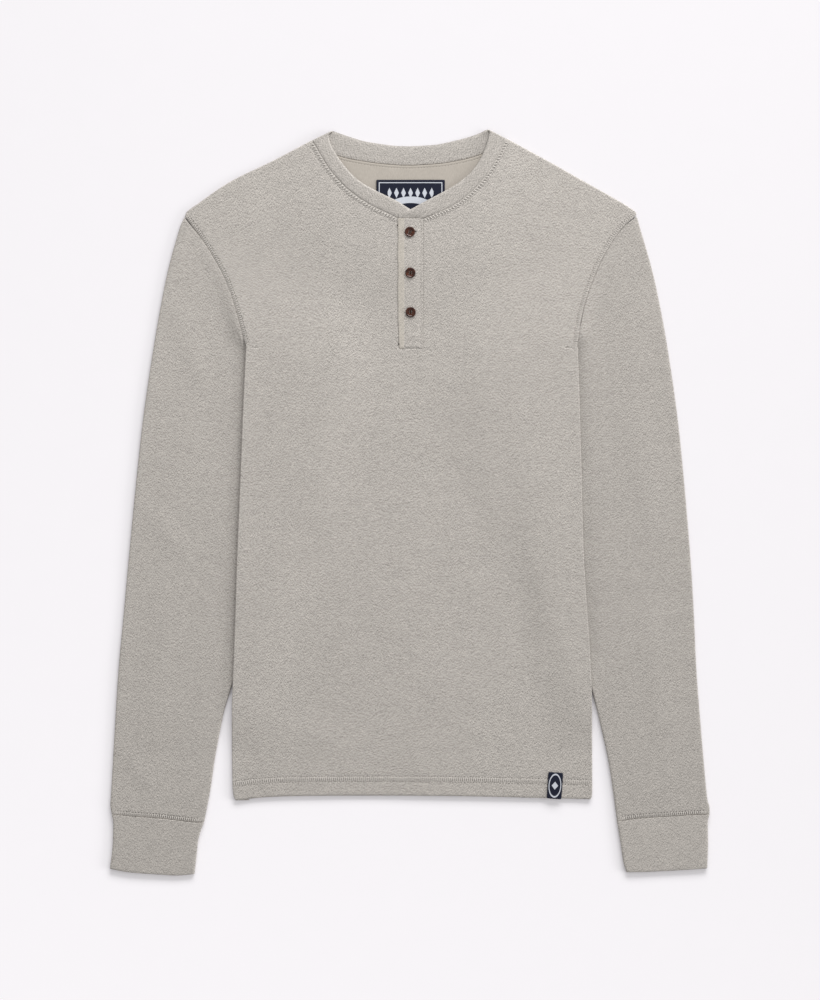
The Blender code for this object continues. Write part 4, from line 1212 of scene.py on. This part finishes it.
ARMHOLE_BOLD = {"right": 1.0, "left": 0.55}   # how large the painted shade beads of each armhole's gaps and needle holes are
NECK_BOLD, HEM_BOLD = 0.5, 0.6
STRIPS = {
    # threads from, threads to, rows of needle holes in painted shade, how far a thread leans, first and last
    # share of the seam
    "neck": (0.9, 4.0, {"outer": 4.9}, 1.6, 0.0, 0.98),
    "armhole": (1.1, 4.0, {"outer": 4.3}, 0.0, 0.02, 0.985),
    "cuff": (1.2, 4.2, {"inner": 0.3, "outer": 4.7}, 0.0, 0.03, 0.97),
}
THREAD_ENDS = (
    # start, end, height over the front
    ((-13.0, 291.0), (-12.7, 288.8), 1.3),
    ((-12.2, 166.0), (-10.4, 165.4), PLACKET_RISE + 0.1),
    ((5.2, 283.9), (7.4, 283.6), PLACKET_RISE + 0.6),
)


def sew(thread, hole_shade, dark_thread, facing_thread_shade):
    """All rows of stitches, laid on the cloth's own heights."""
    for side, sign in SIDES.items():
        flip = np.array([sign, 1.0])
        yarns, neck = (thread, hole_shade), neck_curve(side, start=2.0)
        sew_strip(f"neck_{side}", neck, front_top, flip, *yarns, *STRIPS["neck"], STITCH_PITCH, NECK_BOLD)
        arm, bold = armhole_curve(side), ARMHOLE_BOLD[side]
        sew_strip(f"armhole_{side}", arm, front_top, flip, *yarns, *STRIPS["armhole"], bold=bold)
        cuff, top = Curve([*reversed(CUFF_SEAM[side])]), sleeve_top(side)
        sew_strip(f"cuff_{side}", cuff, lambda x, y: top(joined(sign * x, y)), flip, *yarns, *STRIPS["cuff"])

    x = np.linspace(*HEM_SEWN, 200)
    hem = Curve(np.column_stack([x, column(HEM_LINE, x, 1)])[::-1])
    low, high = HEM_ROWS
    sew_strip(
        "hem_front", hem, front_top, np.ones(2), thread, hole_shade, low + 0.8, high - 0.8,
        {"low": low, "high": high}, bold=HEM_BOLD,
    )

    y = np.linspace(PLACKET_FOOT + 2.0, NECK_SEAM_FOOT - 2.0, 80)
    x = np.linspace(PLACKET["right"] + 1.4, PLACKET_STITCH_X, 20)[6:]
    rows = [on(front_plain, joined(PLACKET_STITCH_X, y), 0.5)]
    for level in (BOX_HEAD, TOP_ROW, NECK_SEAM_FOOT - 1.2):
        rows.append(on(front_plain, joined(x, level), PLACKET_RISE - 0.05))
    stitches("placket_stitches", rows, thread, "placket_jersey", radius=0.2, arch=0.1)
    ends = [on(front_plain, np.array([start, end]), over) for start, end, over in THREAD_ENDS]
    stitches("thread_ends", ends, dark_thread, "placket_jersey", length=9.0, radius=0.4, per_row=1)

    # the binding's row of stitches: real thread, darkened as painted shade of the groove it lies in
    row = Curve(BACK_NECK_SEAM).beside(np.linspace(0.12, 0.88, 120), BINDING)
    line = raised(row, JERSEY + SEAM + FACING_WALL - 0.2)
    stitches("neck_facing_stitches", [line], facing_thread_shade, "facing_tape", radius=0.2)


# ---------------------------------------------------------------- materials

PER_MM = 1000.0
NOISE_TURN = (0.6, 0.8, 0.4)             # off the noise's own axes, so that it is as strong at every height


class Term:
    """A node's output, to reckon with."""

    def __init__(self, shader, socket):
        self.shader, self.socket = shader, socket

    def maths(self, operation, *others):
        return self.shader.node("ShaderNodeMath", dict(enumerate([self, *others])), operation=operation)

    def __add__(self, other):
        return self.maths("ADD", other)

    def __sub__(self, other):
        return self.maths("SUBTRACT", other)

    def __rsub__(self, other):
        return self.shader.node("ShaderNodeMath", {0: other, 1: self}, operation="SUBTRACT")

    def __mul__(self, other):
        return self.maths("MULTIPLY", other)

    def __truediv__(self, other):
        return self.maths("DIVIDE", other)

    def __abs__(self):
        return self.maths("ABSOLUTE")

    def mapped(self, low, high, to_low=0.0, to_high=1.0):
        """The stretch from low to high, made to run from to_low to to_high."""
        sockets = {"Value": self, "From Min": low, "From Max": high, "To Min": to_low, "To Max": to_high}
        return self.shader.node("ShaderNodeMapRange", sockets)

    def parts(self):
        """A vector's x, y and z."""
        split = self.shader.node("ShaderNodeSeparateXYZ", {"Vector": self})
        return [Term(self.shader, socket) for socket in split.socket.node.outputs]

    def noise(self, size, detail=2.0, roughness=0.5, offset=(0.0, 0.0, 0.0)):
        """Noise at this place, its flecks of this size along x, y and z in mm."""
        sockets = {"Scale": tuple(PER_MM / part for part in size), "Location": offset, "Rotation": NOISE_TURN}
        place = self.shader.node("ShaderNodeMapping", {"Vector": self, **sockets})
        sockets = {"Vector": place, "Scale": 1.0, "Detail": detail, "Roughness": roughness}
        return self.shader.node("ShaderNodeTexNoise", sockets)


class Shader:
    """A node material built by short calls. Its places are in metres."""

    def __init__(self, name, roughness, **settings):
        self.material = bpy.data.materials.new(name)
        self.material.use_nodes = True
        self.tree = self.material.node_tree
        self.shader = self.tree.nodes["Principled BSDF"]
        self.shader.inputs["Roughness"].default_value = roughness
        for socket, value in settings.items():
            self.shader.inputs[socket.replace("_", " ")].default_value = value

    def node(self, kind, inputs=None, output=0, **settings):
        made = self.tree.nodes.new(kind)
        for key, value in settings.items():
            setattr(made, key, value)
        for key, value in (inputs or {}).items():
            if isinstance(value, Term):
                self.tree.links.new(value.socket, made.inputs[key])
            else:
                made.inputs[key].default_value = value
        return Term(self, made.outputs[output])

    def grain(self):
        return self.node("ShaderNodeAttribute", output="Vector", attribute_name="grain")

    def position(self):
        return self.node("ShaderNodeTexCoord", output="Object")

    def blend(self, share, a, b):
        """From a to b, each a term or a colour."""
        a, b = (end if isinstance(end, Term) else (*end, 1.0) for end in (a, b))
        return self.node("ShaderNodeMix", {0: share, 6: a, 7: b}, output=2, data_type="RGBA")

    def painted(self, colour, height=None, strength=0.0, distance=0.0):
        """The finished material, its bump by a height whose whole depth is a distance in mm."""
        self.tree.links.new(colour.socket, self.shader.inputs["Base Color"])
        if height:
            sockets = {"Height": height, "Strength": strength, "Distance": distance * MM}
            self.tree.links.new(self.node("ShaderNodeBump", sockets).socket, self.shader.inputs["Normal"])
        return self.material


def streaks(grain, length, width, detail=2.0, offset=0.0):
    """Noise drawn out along the courses: a fleck is about this long and wide, in mm."""
    return grain.noise((length, width, 6.0), detail, 0.55, (offset, offset, 0.0))


def knit(grain, wale=0.8, course=0.62):
    """The height of plain jersey: columns of loops."""
    x, y, _ = grain.parts()
    across = (x * (math.tau * PER_MM / wale)).maths("SINE")
    leg = abs((x * (math.pi * PER_MM / wale)).maths("SINE"))
    loops = (y * (math.tau * PER_MM / course) + across * 1.2).maths("SINE")
    return leg * 0.6 + loops * 0.4


def flecks(grain, length, width, spread, share):
    """Fine flecks, each with a slightly paler or darker edge above and below."""
    def at(shift):
        place = {0: grain, 1: (0.0, shift * MM, 0.0)}
        return streaks(grain.shader.node("ShaderNodeVectorMath", place, operation="ADD"), length, width, 1.0)

    middle = 0.5 - share
    return (at(0.0) - (at(spread) + at(-spread)) * share).mapped(middle - 0.2, middle + 0.2)


def heather(name, dark, light, contrast=1.0):
    made = Shader(name, 0.92, Sheen_Weight=0.12, Sheen_Roughness=0.6, Specular_IOR_Level=0.2)
    grain = made.grain()
    long = streaks(grain, 5.0, 0.7).mapped(0.32, 0.68)
    fine = flecks(grain, 1.05, 0.4, 1.5, 0.18)
    patches = streaks(grain, 30.0, 12.0, 2.0, 3.1).mapped(0.3, 0.7)
    value = long * 0.16 + fine * 0.81 + patches * 0.03
    value = value.mapped(0.5 - 0.5 / contrast, 0.5 + 0.5 / contrast)
    return made.painted(made.blend(value, dark, light), knit(grain) + fine * 0.7, 0.09, 0.2)


def smooth_facing(name):
    made = Shader(name, 0.9, Sheen_Weight=0.1, Specular_IOR_Level=0.2)
    grain = made.grain()
    rib = grain.noise((0.5, 3.0, 8.0)).mapped(0.3, 0.7)
    cloud = grain.noise((16.0, 16.0, 16.0), offset=(5.0, 2.0, 0.0))
    colour = made.blend(rib * 0.65 + cloud * 0.35, (0.350, 0.316, 0.277), (0.445, 0.406, 0.358))
    return made.painted(colour, knit(grain, 1.0, 0.7), 0.25, 0.15)


def thread_of(name, dark, light, sheen=0.1, specular=0.3):
    made = Shader(name, 0.7, Sheen_Weight=sheen, Specular_IOR_Level=specular)
    position = made.position()
    twist = position.noise((1.5, 1.5, 1.5), 1.0).mapped(0.3, 0.7)
    return made.painted(made.blend(twist, dark, light), position.noise((0.2, 0.2, 0.2), 1.0), 0.3, 0.05)


def frame_at(shader, centre, tilt):
    """Coordinates across and up a label, in metres from its centre."""
    from_centre = {"Vector": shader.position(), "Location": (-centre[0] * MM, -centre[1] * MM, 0.0)}
    local = shader.node("ShaderNodeMapping", from_centre)
    turned = shader.node("ShaderNodeVectorRotate", {"Vector": local, "Angle": -tilt}, rotation_type="Z_AXIS")
    return turned.parts()[:2]


def within(value, middle, half):
    """1 where the value is this near to middle."""
    return abs(value - middle).maths("LESS_THAN", half)


def round_reach(x, y, across, up, drop=0.0):
    """Distance from (0, drop) in units of an oval's half sizes, all in mm."""
    x, y = x / (across * MM), (y - drop * MM) / (up * MM)
    return (x * x + y * y).maths("SQRT")


def diamonds(x, y, pitch, across, up, drop=0.0, most=1000.0):
    """1 inside a row of diamonds along x, out to a distance of most on both sides."""
    shifted = x / (pitch * MM)
    aside = abs(shifted - shifted.maths("ROUND")) * (pitch / across)
    inside = (aside + abs((y - drop * MM) / (up * MM))).maths("LESS_THAN", 1.0)
    return inside * abs(x).maths("LESS_THAN", most * MM)


NECK_FRAME = (3.1, 0.45)                 # the pale line's distance from the edge, and half its width
NECK_ARC = (-46.0, 43.0, 3.4)            # a pale arc: its centre's height up the label, radius, half width
NECK_DIAMONDS = (7.4, 2.5, 5.4, 4.2, 24.0)   # pitch, half width, half height, how far up, reach to each side
HEM_RING = (6.2, 11.8, 0.07)             # a pale ring's half sizes, and its share of width
HEM_DIAMOND = (100.0, 3.4, 4.2)          # pitch (so far that only one shows), half width, half height


def woven_label(name, centre, size, tilt, pattern):
    """Dark blue satin weave with a plain pale pattern: pattern(x, y, inset) is 1 where it is pale."""
    made = Shader(name, 0.6, Sheen_Weight=0.05, Specular_IOR_Level=0.15)
    x, y = frame_at(made, centre, tilt)
    inset = (size[0] / 2 * MM - abs(x)).maths("MINIMUM", size[1] / 2 * MM - abs(y))
    weave = made.position().noise((1.4, 0.35, PER_MM), 1.0)
    ground = made.blend(weave, (0.004, 0.005, 0.012), (0.012, 0.015, 0.034))
    pale = made.blend(weave, (0.40, 0.42, 0.47), (0.62, 0.64, 0.68))
    return made.painted(made.blend(pattern(x, y, inset), ground, pale), weave, 0.4, 0.12)


def neck_pattern(x, y, inset):
    line = within(inset, NECK_FRAME[0] * MM, NECK_FRAME[1] * MM)
    drop, radius, half = NECK_ARC
    arc = within(round_reach(x, y, 1.0, 1.0, drop), radius, half)
    return line.maths("MAXIMUM", arc).maths("MAXIMUM", diamonds(x, y, *NECK_DIAMONDS))


def hem_pattern(x, y, _):
    ring = within(round_reach(x, y, *HEM_RING[:2]), 1.0, HEM_RING[2])
    return ring.maths("MAXIMUM", diamonds(x, y, *HEM_DIAMOND))


def button_resin(name):
    made = Shader(name, 0.35, Coat_Weight=0.5, Coat_Roughness=0.04, Specular_IOR_Level=0.1)
    position = made.position()
    grain = position.noise((0.7, 0.7, 0.7))
    swirl = position.noise((4.0, 2.0, 2.0), 3.0, 0.6) * 0.75 + grain * 0.25
    colour = made.blend(swirl.mapped(0.35, 0.65), (0.012, 0.0025, 0.0012), (0.085, 0.024, 0.011))
    return made.painted(colour, grain, 0.15, 0.05)


# The paper is this much lighter at one end and darker at the other, as its light falls off:
# how far out in metres, and the tones there.
FLOOR_TONE_UP = (0.525, 1.135, 0.845)
FLOOR_TONE_ACROSS = (0.43, 1.055, 0.965)


def floor_paper(name):
    made = Shader(name, 0.95, Specular_IOR_Level=0.0)
    position = made.position()
    tones = [
        axis.mapped(-reach, reach, low, high)
        for axis, (reach, low, high) in zip(position.parts(), (FLOOR_TONE_ACROSS, FLOOR_TONE_UP))
    ]
    paper = made.blend(position.noise((25.0, 25.0, 25.0)), (0.814, 0.792, 0.814), (0.822, 0.800, 0.822))
    sockets = {0: paper, "Scale": tones[0] * tones[1]}
    return made.painted(made.node("ShaderNodeVectorMath", sockets, operation="SCALE"))


# ---------------------------------------------------------------- stage

PHOTO_MM_PER_PIXEL = 1.05
PHOTO_HEIGHT = 1000
LENS, SENSOR = 85.0, 36.0
AIM = (0.0004, 0.0018, 0.003)            # the middle of the photograph, in metres
FLOOR_REACH, FLOOR_Z = 6.0, -0.0003
SKY = 0.58
LAMPS = (
    # name, degrees from +Y towards +X, degrees up, distance, size, energy
    ("window", 14.0, 25.0, 3.1, (3.2, 1.1), 123.0),
    ("side wall", 95.0, 16.0, 8.0, (4.6, 1.8), 258.0),
)


def set_stage():
    scene = bpy.context.scene
    camera = placed("camera", bpy.data.cameras.new("camera"))
    camera.data.lens, camera.data.sensor_width = LENS, SENSOR
    camera.data.clip_start = 0.05
    distance = LENS / SENSOR * PHOTO_HEIGHT * PHOTO_MM_PER_PIXEL * MM
    camera.location = (*AIM[:2], AIM[2] + distance)
    scene.camera = camera
    scene.view_settings.view_transform = "Standard"

    floor = bpy.data.meshes.new("floor")
    corners = [(FLOOR_REACH * x, FLOOR_REACH * y, FLOOR_Z) for x, y in ((-1, -1), (1, -1), (1, 1), (-1, 1))]
    floor.from_pydata(corners, [], [(0, 1, 2, 3)])
    floor.materials.append(floor_paper("pale floor"))
    placed("floor", floor)

    world = bpy.data.worlds.new("studio")
    scene.world = world
    world.use_nodes = True
    sky = world.node_tree.nodes["Background"].inputs
    sky["Color"].default_value, sky["Strength"].default_value = (1.0, 1.0, 1.0, 1.0), SKY

    for name, azimuth, elevation, distance, size, energy in LAMPS:
        turn, rise = math.radians(azimuth), math.radians(elevation)
        away = Vector((math.sin(turn) * math.cos(rise), math.cos(turn) * math.cos(rise), math.sin(rise)))
        lamp = bpy.data.lights.new(name, "AREA")
        lamp.shape, lamp.size, lamp.size_y, lamp.energy = "RECTANGLE", *size, energy
        lit = placed(name, lamp)
        lit.location = away * distance
        lit.rotation_euler = (-away).to_track_quat("-Z", "Y").to_euler()
        lit.visible_camera = False


JERSEY_DARK, JERSEY_LIGHT = (0.045, 0.042, 0.039), (0.745, 0.694, 0.639)


def jersey_of(name, shade_tone, contrast):
    """The one jersey in its pieces' tones: the sleeves, cuffs and band are darker copies, their tone painted
    shade.
    """
    dark, light = (tuple(shade_tone * part for part in colour) for colour in (JERSEY_DARK, JERSEY_LIGHT))
    return heather(name, dark, light, contrast)


def main():
    set_stage()
    jersey = jersey_of("heather jersey", 1.0, 0.88)
    # tones below 1 are painted shade, the left sleeve darkest as less light reaches it
    band, cuffs = (jersey_of(f"heather {part}", 0.975, 0.76) for part in ("neckband", "cuffs"))
    sleeves = {
        "right": jersey_of("heather right sleeve", 0.975, 0.83),
        "left": jersey_of("heather left sleeve", 0.935, 0.83),
    }
    thread = thread_of("heather thread", (0.46, 0.43, 0.40), (0.62, 0.585, 0.545))
    # dark beads for the needle holes and the gaps between threads: painted shade
    hole_shade = thread_of("needle hole shade", (0.055, 0.05, 0.045), (0.11, 0.10, 0.09))
    # a darker thread: painted shade of the groove along the back neck binding
    facing_thread_shade = thread_of("facing thread with painted shade", (0.24, 0.22, 0.19), (0.31, 0.28, 0.245))
    dark_thread = thread_of("button thread", (0.01, 0.008, 0.007), (0.03, 0.02, 0.016), 0.0, 0.0)
    make_front(jersey)
    make_back(jersey)
    for side in SIDES:
        make_sleeve(side, sleeves[side])
        make_cuff(side, cuffs)
    make_neckband(band)
    make_facing(smooth_facing("beige facing"))
    make_placket(jersey, heather("placket tape", (0.25, 0.23, 0.203), (0.61, 0.562, 0.497)))
    make_neck_label(woven_label("neck label weave", LABEL_CENTRE, LABEL_SIZE, 0.0, neck_pattern))
    x, y, width, height, tilt = HEM_LABEL.values()
    make_hem_label(woven_label("hem label weave", (x, y), (width, height), tilt, hem_pattern))
    resin = button_resin("button resin")
    for name, (x, y) in BUTTONS.items():
        make_button(name, x, y, resin, dark_thread)
    sew(thread, hole_shade, dark_thread, facing_thread_shade)


main()
